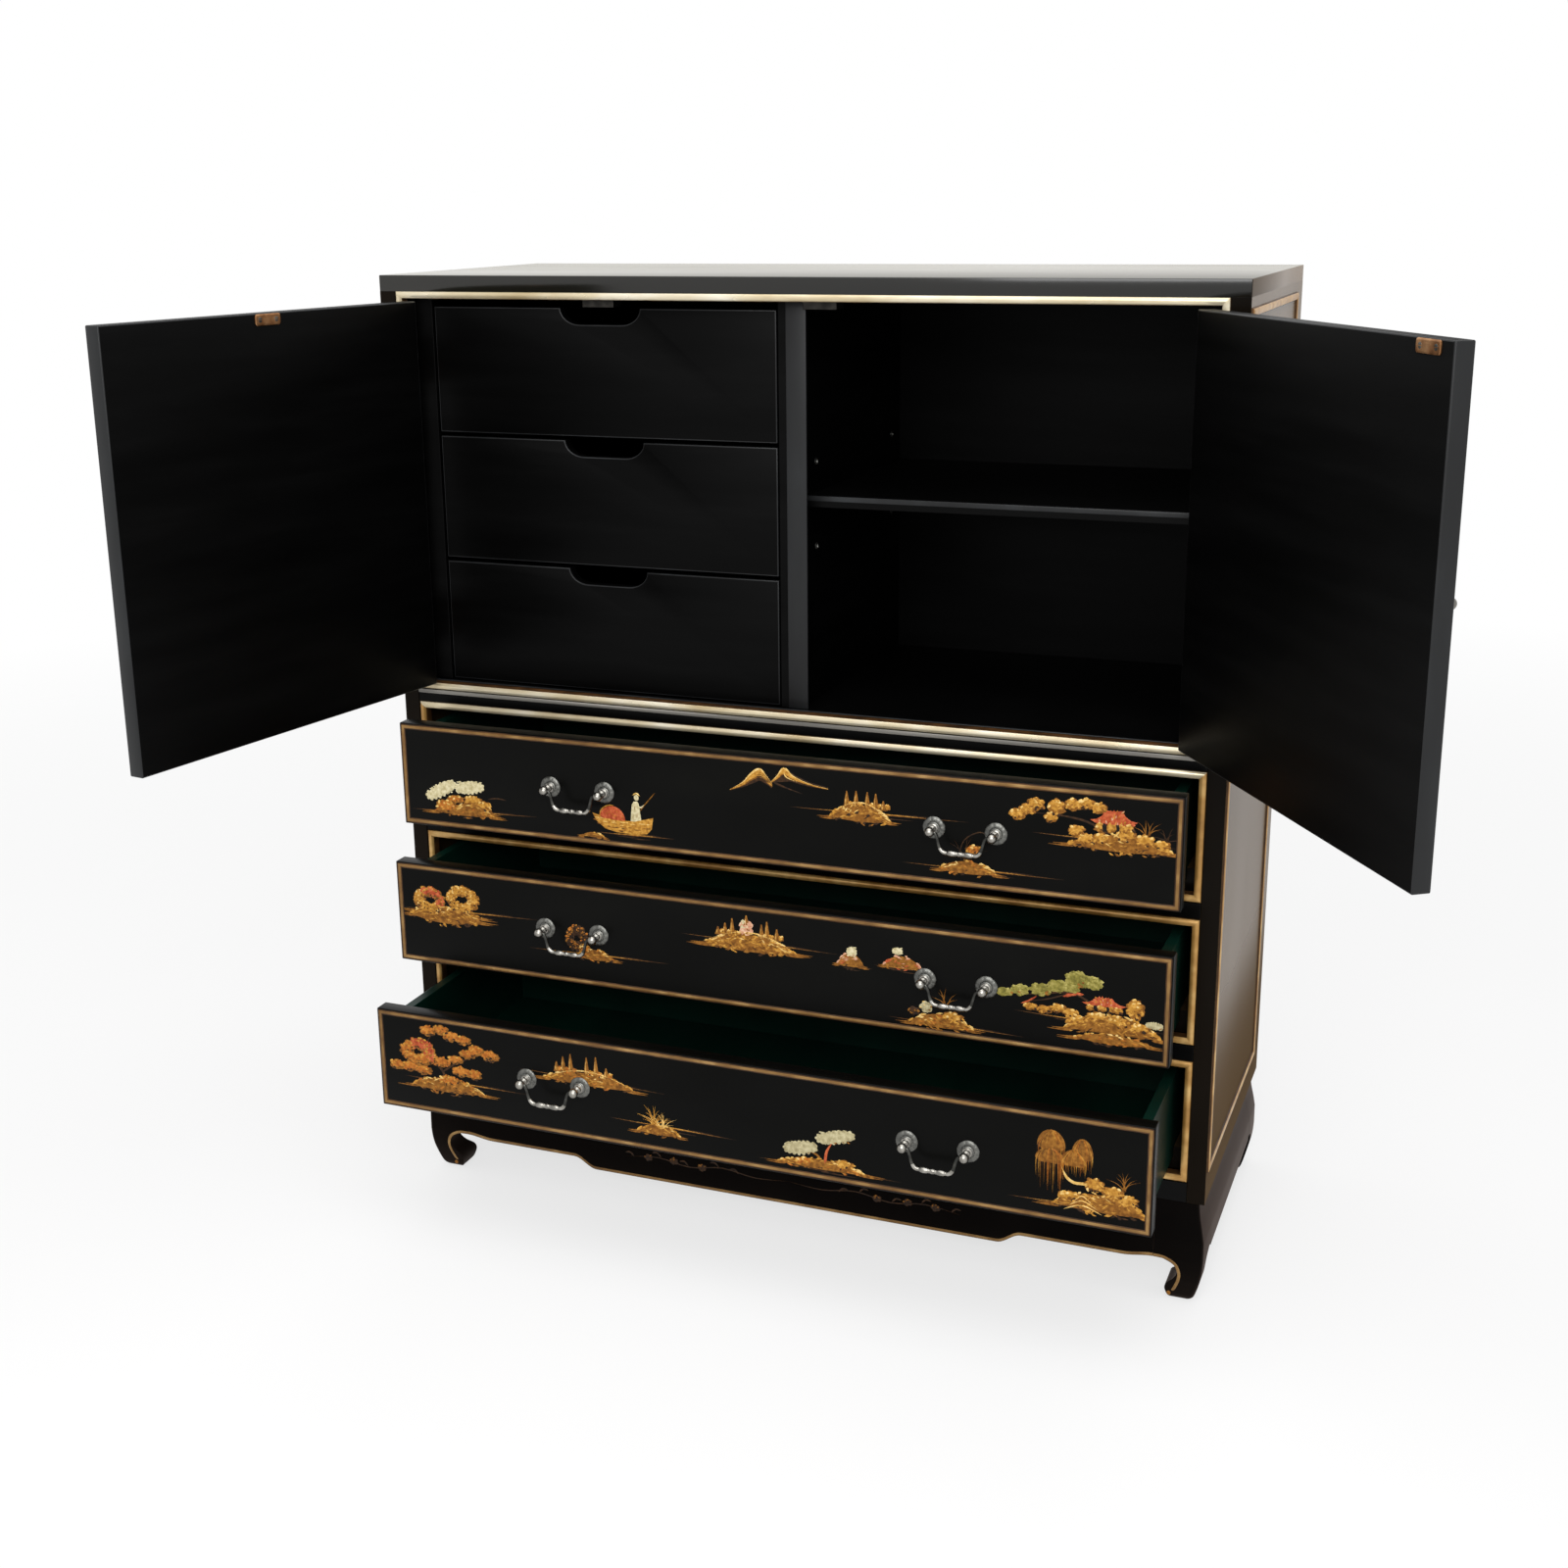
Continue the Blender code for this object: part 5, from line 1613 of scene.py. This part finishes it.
@dataclass
class Door:
    """A door: its slab with a gold line and a painted scene outside, its handle, strike plate and hinges."""

    side: Side
    thick: float = 0.0165
    free: float = 0.001
    edge: float = 0.4299
    rounding: float = 0.0013
    line_inset: float = 1.5
    margin: float = 7.0
    handle_from_edge: float = 64.0
    handle_up: float = 219.0
    strike_x: dict[Side, float] = field(default_factory=lambda: {Side.LEFT: -0.210, Side.RIGHT: 0.035})
    strike_size: tuple[float, float] = (34.0, 11.0)

    def swing(self) -> Matrix:
        """How the door turns from shut to the way it stands.

        Returns:
            The turn about its hinge line.
        """
        joint = next(j for j in frame["joints"] if j["name"] == f"{self.side.word}_door_hinge")
        pivot = Matrix.Translation(joint["pos_m"])
        turn = Matrix.Rotation(math.radians(-joint["range_deg"][0]), 4, Vector(joint["axis"]))
        return pivot @ turn @ pivot.inverted()

    def build(self) -> None:
        """Builds and dresses the door."""
        word = self.side.word
        node = f"{word}_door"
        swing = self.swing()
        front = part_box("left_side")[0].y
        middle = (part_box("left_side")[0].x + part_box("right_side")[1].x) / 2
        foot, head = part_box(node)[0].z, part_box(node)[1].z
        spans = sorted((self.side.value * self.free, self.side.value * self.edge))
        low = Vector((middle + spans[0], front, foot))
        high = Vector((middle + spans[1], front + self.thick, head))
        # The slab's rounded and side edges take the lighter satin as a painted highlight; its inside is satin black and
        # its outside front lacquer.
        slab = slab_mesh(f"{node}_slab", low, high, self.rounding, SATIN, SATIN_EDGE_HIGHLIGHT)
        slab.materials.append(FRONT_LACQUER.material())
        for polygon in slab.polygons:
            if abs(polygon.normal.x) > FLAT:
                polygon.material_index = 1
            elif polygon.normal.y < -FLAT:
                polygon.material_index = 2
        slab.transform(swing)
        place_piece(f"{node}_slab", slab, node, [node])
        outer = Face.front(low.copy()).moved(swing)
        width, height = (high.x - low.x) / MM, (head - foot) / MM
        draw_edge_line(node, node, outer, (width, height), self.line_inset)
        brush = Brush(outer, DOOR_SEED + self.side.value, (self.margin, width - self.margin))
        paint_door(brush, self.side)
        brush.finish(f"{node}_scene", node)
        across = width - self.handle_from_edge if self.side is Side.LEFT else self.handle_from_edge
        BailHandle(f"{node}_bail", outer, across, self.handle_up, node, node, f"{node}_bail", f"{node}_bail").build()
        self.fit_strike(swing, middle, front, head)
        for place in ("upper", "lower"):
            for leaf in ("frame", "door"):
                dress_node(f"{word}_{place}_hinge_{leaf}_leaf", BRASS)
        dress_node(f"{word}_catch", DARK_BRASS, FITTING_ROUNDING)

    def fit_strike(self, swing: Matrix, middle: float, front: float, head: float) -> None:
        """Fits the strike plate with its two screws to the door's inner face.

        Args:
            swing: The door's turn.
            middle: The dresser's middle along x.
            front: The dresser's front along y.
            head: The door's upper edge.
        """
        node = f"{self.side.word}_strike_plate"
        wide, tall = self.strike_size
        right = middle + self.strike_x[self.side] + wide / 2 * MM
        corner = Vector((right, front + self.thick + SEAM, head - (tall + 0.8) * MM))
        inner = Face(corner, Vector((-1, 0, 0)), Vector((0, 0, 1)), Vector((0, 1, 0))).moved(swing)
        plate = Shape()
        profile = ((0.0, -0.2), (0.0, 0.6), (0.5, 0.95), (1.6, 1.0))
        moulding(plate, inner, (0, 0, wide, tall), profile, 2.6)
        count = len(plate.points)
        plate.cap(range(count - 4 * (CORNER_STEPS + 1), count))
        for across in (6.0, wide - 6.0):
            self.screw(plate, inner, across, tall / 2, 2.7)
        mesh = plate.mesh(node, [BRASS, PEWTER], EDGE_CREASE)
        place_piece(f"{node}_with_screws", mesh, f"{self.side.word}_door", [node])

    def screw(self, shape: Shape, face: Face, across: float, up: float, radius: float) -> None:
        """A round screw head with a slot, as two half domes.

        Args:
            shape: The shape that it is added to.
            face: The face that carries it.
            across: Its middle across.
            up: Its middle up.
            radius: Its radius.
        """
        slot = 0.35
        for half in (1, -1):
            rings = []
            for share, out in ((1.0, 0.80), (0.92, 1.04), (0.6, 1.12)):
                points = []
                for i in range(9):
                    turn = math.pi * i / 8
                    u = radius * share * math.cos(turn)
                    v = max(radius * share * math.sin(turn), slot)
                    points.append(face.point(across + half * u, up + half * v, out))
                rings.append(shape.ring(points))
            shape.bridge(rings, True, (1,))
            shape.cap(rings[-1], 1)


@dataclass
class Carcass:
    """The boards of the case, the gilt bead on its sides, the lighter strips on its front edges, which are painted
    highlights and a painted reflection, and the sleeves for the shelf pins.
    """

    bead_width: float = 8.4
    bead_rise: float = 2.6
    bead_box: tuple[float, float, float, float] = (3.0, 154.0, 318.0, 1024.0)
    rounding: float = 0.0009
    top_lap: float = 0.0011
    lining: float = 0.0002
    lining_start: float = 0.013
    sleeves: tuple[Point, ...] = ((50.0, 775.0), (50.0, 863.0), (300.0, 775.0), (300.0, 863.0))

    def build(self) -> None:
        """Dresses the boards and adds the beads, edges and sleeves."""
        for side in Side:
            dress_node(f"{side.word}_side", SIDE_LACQUER, self.rounding)
        for node in ("base_board", "waist_rail", "upper_drawer_rail", "lower_drawer_rail", "rear_rail"):
            dress_node(node, LACQUER, self.rounding)
        self.lay_top()
        inside = ("ceiling_board", "back_panel", "cupboard_floor", "centre_divider", "drawer_bay_side")
        for node in (*inside, "cupboard_shelf"):
            dress_node(node, SATIN, self.rounding)
        for side in Side:
            self.fit_side_bead(side)
        self.rub_edges()
        self.line_wall()
        self.fit_sleeves()

    def lay_top(self) -> None:
        """Lays the top board, glossy above and in front, and like the sides at its ends."""
        low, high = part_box("top_panel")
        low.z -= self.top_lap
        mesh = slab_mesh("top_panel_board", low, high, self.rounding, TOP_LACQUER)
        mesh.materials[1] = SIDE_LACQUER.material()
        for polygon in mesh.polygons:
            polygon.material_index = int(abs(polygon.normal.x) > 0.5)
        place_piece("top_panel_board", mesh, "carcass", ["top_panel"])

    def fit_side_bead(self, side: Side) -> None:
        """Fits the gilt bead that frames a side.

        Args:
            side: The side.
        """
        low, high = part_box(f"{side.word}_side")
        out = Vector((side.value, 0, 0))
        start = Vector((high.x, low.y, 0)) if side is Side.RIGHT else Vector((low.x, high.y, 0))
        face = Face(start, Vector((0, side.value, 0)), Vector((0, 0, 1)), out)
        left, foot, right, head = self.bead_box
        if side is Side.LEFT:
            depth = (high.y - low.y) / MM
            left, right = depth - right, depth - left
        profile = [(0.0, -0.05)]
        steps, half, foot_rise = 10, self.bead_width / 2, 0.3
        for i in range(steps + 1):
            turn = math.pi * i / steps
            rise = foot_rise + (self.bead_rise - foot_rise) * math.sin(turn)
            profile.append((half * (1 - 0.97 * math.cos(turn)), rise))
        profile.append((self.bead_width, -0.05))
        shape = Shape()
        # The bead's flanks take the dark gilt as painted shade.
        marks = [1, 1, 1] + [0] * (steps - 4) + [1, 1, 1]
        moulding(shape, face, (left, foot, right, head), profile, 1.2, marks)
        name = f"{side.word}_side_gilt_bead"
        place_piece(name, shape.mesh(name, [GILT, GILT_EDGE_AND_SHADE], 50.0), "carcass")

    def rub_edges(self) -> None:
        """Adds lighter strips on the front edges of the shelf, divider, cupboard floor and waist rail: painted
        highlights, and on the waist rail a painted reflection.
        """
        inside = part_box("door_bead")
        shelf, divider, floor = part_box("cupboard_shelf"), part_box("centre_divider"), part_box("cupboard_floor")
        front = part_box("left_side")[0].y
        thin, proud, bead = 0.0030, 0.0003, 0.0085
        edges = (
            ("cupboard_shelf_edge", SATIN_EDGE_HIGHLIGHT, (shelf[0].x, shelf[0].y - proud, shelf[1].z - 0.0055),
             (shelf[1].x, shelf[0].y + thin, shelf[1].z)),
            ("centre_divider_edge", SATIN_EDGE_HIGHLIGHT, (divider[1].x - 0.022, divider[0].y - proud, floor[1].z),
             (divider[1].x, divider[0].y + thin, inside[1].z - bead)),
            ("cupboard_sill_edge", SATIN_EDGE_HIGHLIGHT, (inside[0].x + bead, front + 0.0135, floor[1].z - thin),
             (inside[1].x - bead, front + 0.0175, floor[1].z + 0.0006)),
            # The waist rail's lip is a painted reflection in light grey.
            ("waist_rail_lip", SILL_REFLECTION, (inside[0].x, front - 0.0010, inside[0].z - 0.0046),
             (inside[1].x, front + 0.0008, inside[0].z - 0.0002)),
        )
        for name, finish, low, high in edges:
            mesh = slab_mesh(name, Vector(low), Vector(high), FITTING_ROUNDING, finish)
            place_piece(name, mesh, "carcass")

    def line_wall(self) -> None:
        """Lines the cupboard's right wall in satin black."""
        wall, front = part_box("cupboard_shelf")[1].x + SEAM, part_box("left_side")[0].y
        low = Vector((wall - self.lining, front + self.lining_start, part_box("cupboard_floor")[1].z))
        high = Vector((wall + self.lining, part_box("back_panel")[0].y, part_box("ceiling_board")[0].z))
        mesh = slab_mesh("cupboard_wall_lining", low, high, self.lining / 4, SATIN)
        place_piece("cupboard_wall_lining", mesh, "carcass")

    def fit_sleeves(self) -> None:
        """Fits the metal sleeves of the spare shelf-pin holes in the divider."""
        face_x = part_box("centre_divider")[1].x
        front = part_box("left_side")[0].y
        profile = [(3.6, -0.3), (3.6, 0.4), (3.1, 0.7), (2.6, 0.6), (2.4, 0.2), (2.3, -0.2), (0.6, -0.25)]
        mesh = turned_mesh("shelf_pin_sleeve", profile, 24, PEWTER)
        turn = Matrix.Rotation(math.radians(90), 4, "Z")
        for i, (back, up) in enumerate(self.sleeves):
            at = Matrix.Translation((face_x, front + back * MM, up * MM)) @ turn
            place_piece(f"shelf_pin_sleeve_{i + 1}", mesh, "carcass", (), at)


@dataclass
class OpeningBead:
    """The half-round gilt bead round one opening."""

    node: str
    finish: Finish = GILT
    # The finish of the bead's top leg, which is the paler gilt where it is a painted highlight.
    head: Finish = GILT
    width: float = 8.2
    proud: float = 1.5
    depth: float = 10.5
    steps: int = 12

    def build(self) -> None:
        """Builds the mitred bead in place of its node."""
        low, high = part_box(self.node)
        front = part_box("left_side")[0].y
        face = Face.front(Vector((low.x, front, low.z)))
        half = self.width / 2
        profile = [(0.0, -self.depth)]
        for i in range(self.steps + 1):
            turn = math.pi * i / self.steps
            profile.append((half - half * math.cos(turn), self.proud - half + half * math.sin(turn)))
        profile.append((self.width, -self.depth))
        profile.append((0.0, -self.depth))
        shape = Shape()
        # The flanks and back of the bead take the dark gilt as painted shade.
        marks = [1, 1, 1] + [0] * (self.steps - 4) + [1, 1, 1]
        moulding(shape, face, (0, 0, (high.x - low.x) / MM, (high.z - low.z) / MM), profile, 0.5, marks)
        mesh = shape.mesh(f"{self.node}_moulding", [self.finish, GILT_EDGE_AND_SHADE, self.head], 50.0)
        # The top leg takes the head finish.
        for polygon in mesh.polygons:
            if polygon.material_index == 0 and polygon.center.z > high.z - self.width * MM:
                polygon.material_index = 2
        place_piece(f"{self.node}_moulding", mesh, "carcass", [self.node])


@dataclass
class Base:
    """The waisted base: hoof legs, cusped aprons and the gold line along their lower edge."""

    height: float = 0.119
    block: float = 0.050
    corner: float = 0.004
    apron_thick: float = 0.020
    apron_edge: float = 0.048
    dip: float = 0.013
    dip_half: float = 0.240
    ramp: float = 0.028
    hook: tuple[Point, ...] = (
        (0.0312, 0.0125), (0.0282, 0.0195), (0.0254, 0.0280), (0.0248, 0.0365),
        (0.0285, 0.0452), (0.0385, 0.0508), (0.0500, 0.0518),
    )
    shoulder: float = 0.0038
    shoulder_reach: float = 0.034
    line_width: float = 0.0036
    hoof: tuple[tuple[float, float, float], ...] = (
        (0.000, 0.0140, 0.0310), (0.002, 0.0108, 0.0335), (0.006, 0.0078, 0.0360), (0.014, 0.0050, 0.0380),
        (0.021, 0.0030, 0.0360), (0.029, 0.0010, 0.0285), (0.038, -0.0005, 0.0245), (0.046, -0.0012, 0.0290),
        (0.0515, -0.0015, 0.0400),
    )
    waist: tuple[Point, ...] = ((0.046, -0.0013), (0.034, 0.0010), (0.020, 0.0042), (0.008, 0.0058), (0.000, 0.0060))

    def __post_init__(self) -> None:
        """Works out the rows of the leg."""
        top = self.height - SEAM
        block = [(top - drop, back, self.block) for drop, back in smooth_route(self.waist, 5)]
        arch = (self.hoof[-1][0] + SEAM, self.hoof[-1][1], self.block)
        self.rows = smooth_route(self.hoof, 6) + [arch] + block
        low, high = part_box("left_side")
        self.left, self.front, self.back = low.x, low.y, high.y
        self.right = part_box("right_side")[1].x

    def edge(self, side: Side) -> float:
        """Where a side's outer face stands along x."""
        return self.left if side is Side.LEFT else self.right

    def set_back(self, level: float) -> float:
        """How far the outer face stands back at a level.

        Args:
            level: The height above the floor.

        Returns:
            The set-back in metres.
        """
        for (z0, b0, _), (z1, b1, _) in zip(self.rows, self.rows[1:]):
            if z0 <= level <= z1 and z1 > z0:
                return b0 + (b1 - b0) * (level - z0) / (z1 - z0)
        return self.rows[-1][1] if level > self.rows[-1][0] else self.rows[0][1]

    def lower_edge(self, from_middle: float) -> float:
        """The level of the front apron's lower edge.

        Args:
            from_middle: The distance from the apron's middle.

        Returns:
            The level in metres.
        """
        t = clamp((self.dip_half + self.ramp - abs(from_middle)) / self.ramp)
        end = (self.right - self.left) / 2 - self.block - abs(from_middle)
        lift = self.shoulder * (1 + math.cos(math.pi * clamp(end / self.shoulder_reach))) / 2
        return self.apron_edge + lift - self.dip * (1 - math.cos(math.pi * t)) / 2

    def build(self) -> None:
        """Builds the legs, the aprons and the gold lines."""
        for side in Side:
            for front in (True, False):
                self.build_leg(side, front)
        length = self.right - self.left - 2 * (self.block + SEAM)
        middle = Vector(((self.left + self.right) / 2, self.front, 0))
        self.build_apron("front_apron", length, Matrix.Translation(middle), True)
        depth = self.back - self.front - 2 * (self.block + SEAM)
        for side in Side:
            at = Matrix.Translation((self.edge(side), (self.front + self.back) / 2, 0))
            at = at @ Matrix.Rotation(math.radians(90 * side.value), 4, "Z")
            self.build_apron(f"{side.word}_apron", depth, at, False)
        self.draw_apron_line(length, middle)
        for side in Side:
            self.draw_leg_line(side)
        self.paint_vine(middle)

    def build_leg(self, side: Side, front: bool) -> None:
        """Builds a hoof leg, lofted through square sections with a round outer corner.

        Args:
            side: The side that it stands on.
            front: Whether it is a front leg.
        """
        shape = Shape()
        rings = []
        edge = self.edge(side)
        for z, back, reach in self.rows:
            depth = back if front else 0.0
            section = [(reach, depth), (reach, reach), (back, reach)]
            for i in range(7):
                turn = math.radians(90) * i / 6
                section.append((back + self.corner * (1 - math.cos(turn)), depth + self.corner * (1 - math.sin(turn))))
            ring = []
            for across, inward in section:
                y = self.front + inward if front else self.back - inward
                ring.append(Vector((edge - side.value * across, y, z)))
            rings.append(shape.ring(ring))
        shape.bridge(rings)
        shape.cap(rings[0])
        shape.cap(rings[-1])
        node = f"{'front' if front else 'rear'}_{side.word}_leg"
        mesh = shape.mesh(f"{node}_hoof", [BASE_LACQUER], EDGE_CREASE)
        place_piece(f"{node}_hoof", mesh, "carcass", [node])

    def columns(self, length: float, dips: bool) -> list[float]:
        """Places along an apron, close together where its edge bends.

        Args:
            length: The apron's length.
            dips: Whether its edge is cusped.

        Returns:
            The places, from its middle.
        """
        half = length / 2
        if not dips:
            return [-half, -half / 3, half / 3, half]
        bend = [self.dip_half + self.ramp * i / 10 for i in range(11)]
        inner = [self.dip_half * i / 4 for i in range(4)]
        shoulder = [half - self.shoulder_reach * (1 - i / 8) for i in range(8)]
        right = inner[1:] + bend + shoulder + [half]
        return [-x for x in reversed(right)] + [0.0] + right

    def build_apron(self, name: str, length: float, at: Matrix, dips: bool) -> None:
        """Builds an apron with a bulging face and, in front, a cusped lower edge.

        Args:
            name: Its node's name.
            length: Its length.
            at: Where it stands; its face looks along -y there.
            dips: Whether its lower edge is cusped.
        """
        shape = Shape()
        top = self.height - SEAM
        rings = []
        for x in self.columns(length, dips):
            foot = self.lower_edge(x) if dips else self.apron_edge
            ring = []
            for i in range(19):
                z = foot + (top - foot) * i / 18
                ring.append(Vector((x, self.set_back(z), z)))
            ring += [Vector((x, self.apron_thick, top)), Vector((x, self.apron_thick, foot))]
            rings.append(shape.ring([at @ point for point in ring]))
        shape.bridge(rings)
        shape.cap(rings[0])
        shape.cap(rings[-1])
        mesh = shape.mesh(f"{name}_board", [BASE_LACQUER], EDGE_CREASE)
        place_piece(f"{name}_board", mesh, "carcass", [name])

    def ribbon(self, name: str, rows: Sequence[tuple[Vector, Vector]], out: Vector) -> None:
        """A raised gold ribbon between two edges.

        Args:
            name: The piece's name.
            rows: Pairs of points across the ribbon, one after another along it.
            out: The way that it stands out.
        """
        shape = Shape()
        rings = []
        for start, end in rows:
            shares = [i / 6 for i in range(7)]
            ring = [start.lerp(end, t) + out * (0.00045 * math.sin(math.pi * t) - 0.00005) for t in shares]
            rings.append(shape.ring(ring))
        shape.bridge(rings, False)
        place_piece(name, shape.mesh(name, [LINE_GOLD], 60.0), "carcass")

    def draw_apron_line(self, length: float, middle: Vector) -> None:
        """Draws the gold line along the front apron's lower edge.

        Args:
            length: The apron's length.
            middle: The middle of the front at floor level.
        """
        rows = []
        for x in self.columns(length, True):
            low = self.lower_edge(x) + 0.0002
            levels = (low, low + self.line_width)
            rows.append(tuple(middle + Vector((x, self.set_back(level), level)) for level in levels))
        self.ribbon("front_apron_gold_line", rows, Vector((0, -1, 0)))

    def draw_leg_line(self, side: Side) -> None:
        """Draws the gold line that curls down a front leg to the toe of its hoof.

        Args:
            side: The leg's side.
        """
        edge = self.edge(side)
        route = smooth_route(self.hook, 5)
        rows = []
        for i, (reach, z) in enumerate(route):
            along = heading(route, i)
            inward = Vector((-along.y, along.x))
            if inward.x > 0 and inward.y < 0:
                inward = -inward
            width = self.line_width * min(1.0, 0.7 + i / 8)
            points = []
            for share in (0.05, 1.0):
                a, b = reach + inward.x * width * share, z + inward.y * width * share
                points.append(Vector((edge - side.value * a, self.front + self.set_back(b), b)))
            rows.append(tuple(points))
        self.ribbon(f"front_{side.word}_leg_gold_line", rows, Vector((0, -1, 0)))

    def paint_vine(self, middle: Vector) -> None:
        """Paints the flowering vine on the front apron.

        Args:
            middle: The middle of the front at floor level.
        """
        start = middle + Vector((0, self.set_back(0.055) - 0.0001, 0))
        brush = Brush(Face.front(start), VINE_SEED, (-460.0, 460.0))
        for side in Side:
            s = side.value
            vine = [(0, 64), (s * 40, 61), (s * 80, 66), (s * 120, 60), (s * 160, 65), (s * 200, 60)]
            brush.stroke(vine, 1.2, Paint.UMBER, 0.24)
            for u, v in ((105, 62), (140, 64), (172, 63)):
                brush.lump(s * u, v, 11, 9, DUSKY[:4], 2.2)
            for u, v in ((60, 62), (84, 66), (122, 61), (156, 66), (190, 61)):
                brush.stroke([(s * u, v), (s * (u + 5), v + 5), (s * (u + 11), v + 4)], 2.0, Paint.UMBER, 0.3)
        for side in Side:
            edge = self.edge(side) - middle.x
            toe, level = self.hook[0]
            brush.oval((edge - side.value * (toe + 0.0012)) / MM, level / MM, 4.8, 4.8, Paint.OCHRE, 0.3)
        brush.finish("front_apron_vine", "carcass")


@dataclass
class Studio:
    """The pale floor, the soft light and the camera at the photograph's view."""

    eye: tuple[float, float, float] = (0.6546, -1.85444, 1.1284)
    yaw: float = 21.6155
    pitch: float = 15.668
    roll: float = -0.656
    lens: float = 45.916
    shift: Point = (0.00758, -0.01826)
    floor_reach: float = 4.0
    floor_white: float = 0.70
    world_light: float = 0.5

    def build(self) -> None:
        """Builds the studio."""
        self.lay_floor()
        self.light_world()
        self.hang_lamps()
        self.stand_camera()

    def lay_floor(self) -> None:
        """Lays a round pale floor that fades into the background."""
        shape = Shape()
        rings = []
        turns = [2 * math.pi * i / 64 for i in range(64)]
        for share in (0.2, 0.4, 0.6, 0.8, 1.0):
            reach = self.floor_reach * share
            ring = [Vector((reach * math.cos(turn), reach * math.sin(turn), -0.0004)) for turn in turns]
            rings.append(shape.ring(ring))
        shape.bridge(rings)
        shape.cap(rings[0])
        recipe = Recipe("pale_studio_floor")
        recipe.set("Specular IOR Level", 0.0)
        recipe.colour(recipe.noise(3.0), ((0.0, (0.90, 0.90, 0.90)), (1.0, (0.92, 0.92, 0.92))))
        recipe.gloss(recipe.noise(5.0), 0.85, 0.95)
        reach = recipe.add("VectorMath", {0: recipe.place}, "Value", "LENGTH")
        fading = (0.35 * self.floor_reach, 0.95 * self.floor_reach)
        recipe.set("Alpha", recipe.spread(reach, fading, 1.0, 0.0))
        share = recipe.add("Math", {0: recipe.seen_rays(), 1: self.floor_white}, "Value", "MULTIPLY")
        white = recipe.add("Emission", {}, "Emission")
        mixed = recipe.add("MixShader", {"Fac": share, 1: recipe.shader.outputs["BSDF"], 2: white}, "Shader")
        recipe.feed(recipe.nodes["Material Output"].inputs["Surface"], mixed)
        mesh = bpy.data.meshes.new("studio_floor")
        mesh.from_pydata(shape.points, [], shape.faces)
        mesh.materials.append(recipe.material)
        floor = bpy.data.objects.new("studio_floor", mesh)
        bpy.context.scene.collection.objects.link(floor)

    def light_world(self) -> None:
        """Sets a white background that lights the dresser softly."""
        world = bpy.data.worlds.new("soft_studio")
        bpy.context.scene.world = world
        world.use_nodes = True
        tree = Tree(world.node_tree)
        tree.nodes.clear()
        white = (1.0, 1.0, 1.0, 1.0)
        lighting = tree.add("Background", {"Color": white, "Strength": self.world_light}, "Background")
        seen = tree.add("Background", {"Color": white}, "Background")
        mixed = tree.add("MixShader", {"Fac": tree.seen_rays(), 1: lighting, 2: seen}, "Shader")
        tree.feed(tree.nodes.new("ShaderNodeOutputWorld").inputs["Surface"], mixed)

    def hang_lamps(self) -> None:
        """Hangs the soft boxes: one over and behind the camera, one overhead."""
        boxes = (
            ("front_soft_box", (0.7, -3.1, 2.3), (0.0, 0.2, 0.6), 2.4, 1.5, 72.0),
            ("overhead_soft_box", (0.2, -0.4, 3.4), (0.0, 0.1, 0.0), 2.8, 2.8, 60.0),
        )
        for name, place, aim, width, height, power in boxes:
            lamp = bpy.data.lights.new(name, "AREA")
            lamp.shape = "RECTANGLE"
            lamp.size, lamp.size_y, lamp.energy = width, height, power
            stand = bpy.data.objects.new(name, lamp)
            stand.location = place
            stand.rotation_euler = (Vector(aim) - Vector(place)).to_track_quat("-Z", "Y").to_euler()
            stand.visible_camera = False
            bpy.context.scene.collection.objects.link(stand)

    def stand_camera(self) -> None:
        """Stands the camera where the photograph was taken."""
        lens = bpy.data.cameras.new("photograph_view")
        lens.sensor_width = 36.0
        lens.lens = self.lens
        lens.shift_x, lens.shift_y = self.shift
        camera = bpy.data.objects.new("photograph_view", lens)
        turn = Matrix.Rotation(math.radians(self.yaw), 4, "Z")
        turn = turn @ Matrix.Rotation(math.radians(90 - self.pitch), 4, "X")
        turn = turn @ Matrix.Rotation(math.radians(self.roll), 4, "Z")
        camera.matrix_world = Matrix.Translation(self.eye) @ turn
        bpy.context.scene.collection.objects.link(camera)
        bpy.context.scene.camera = camera
        bpy.context.scene.view_settings.view_transform = "Standard"


def main() -> None:
    """Builds the dresser's pieces in order, and the studio round them."""
    logging.basicConfig(level=logging.INFO, format="%(name)s: %(message)s")
    Studio().build()
    Carcass().build()
    # The door bead, and the top leg of the upper drawer's bead, are the paler gilt: painted highlights.
    OpeningBead("door_bead", PALE_GILT_HIGHLIGHT, PALE_GILT_HIGHLIGHT).build()
    for level in Level:
        OpeningBead(f"{level.value}_drawer_bead", GILT, PALE_GILT_HIGHLIGHT if level is Level.UPPER else GILT).build()
    Base().build()
    for level in Level:
        WideDrawer(level).build()
        InnerDrawer(level).build()
    for side in Side:
        Door(side).build()


if __name__ == "__main__":
    main()
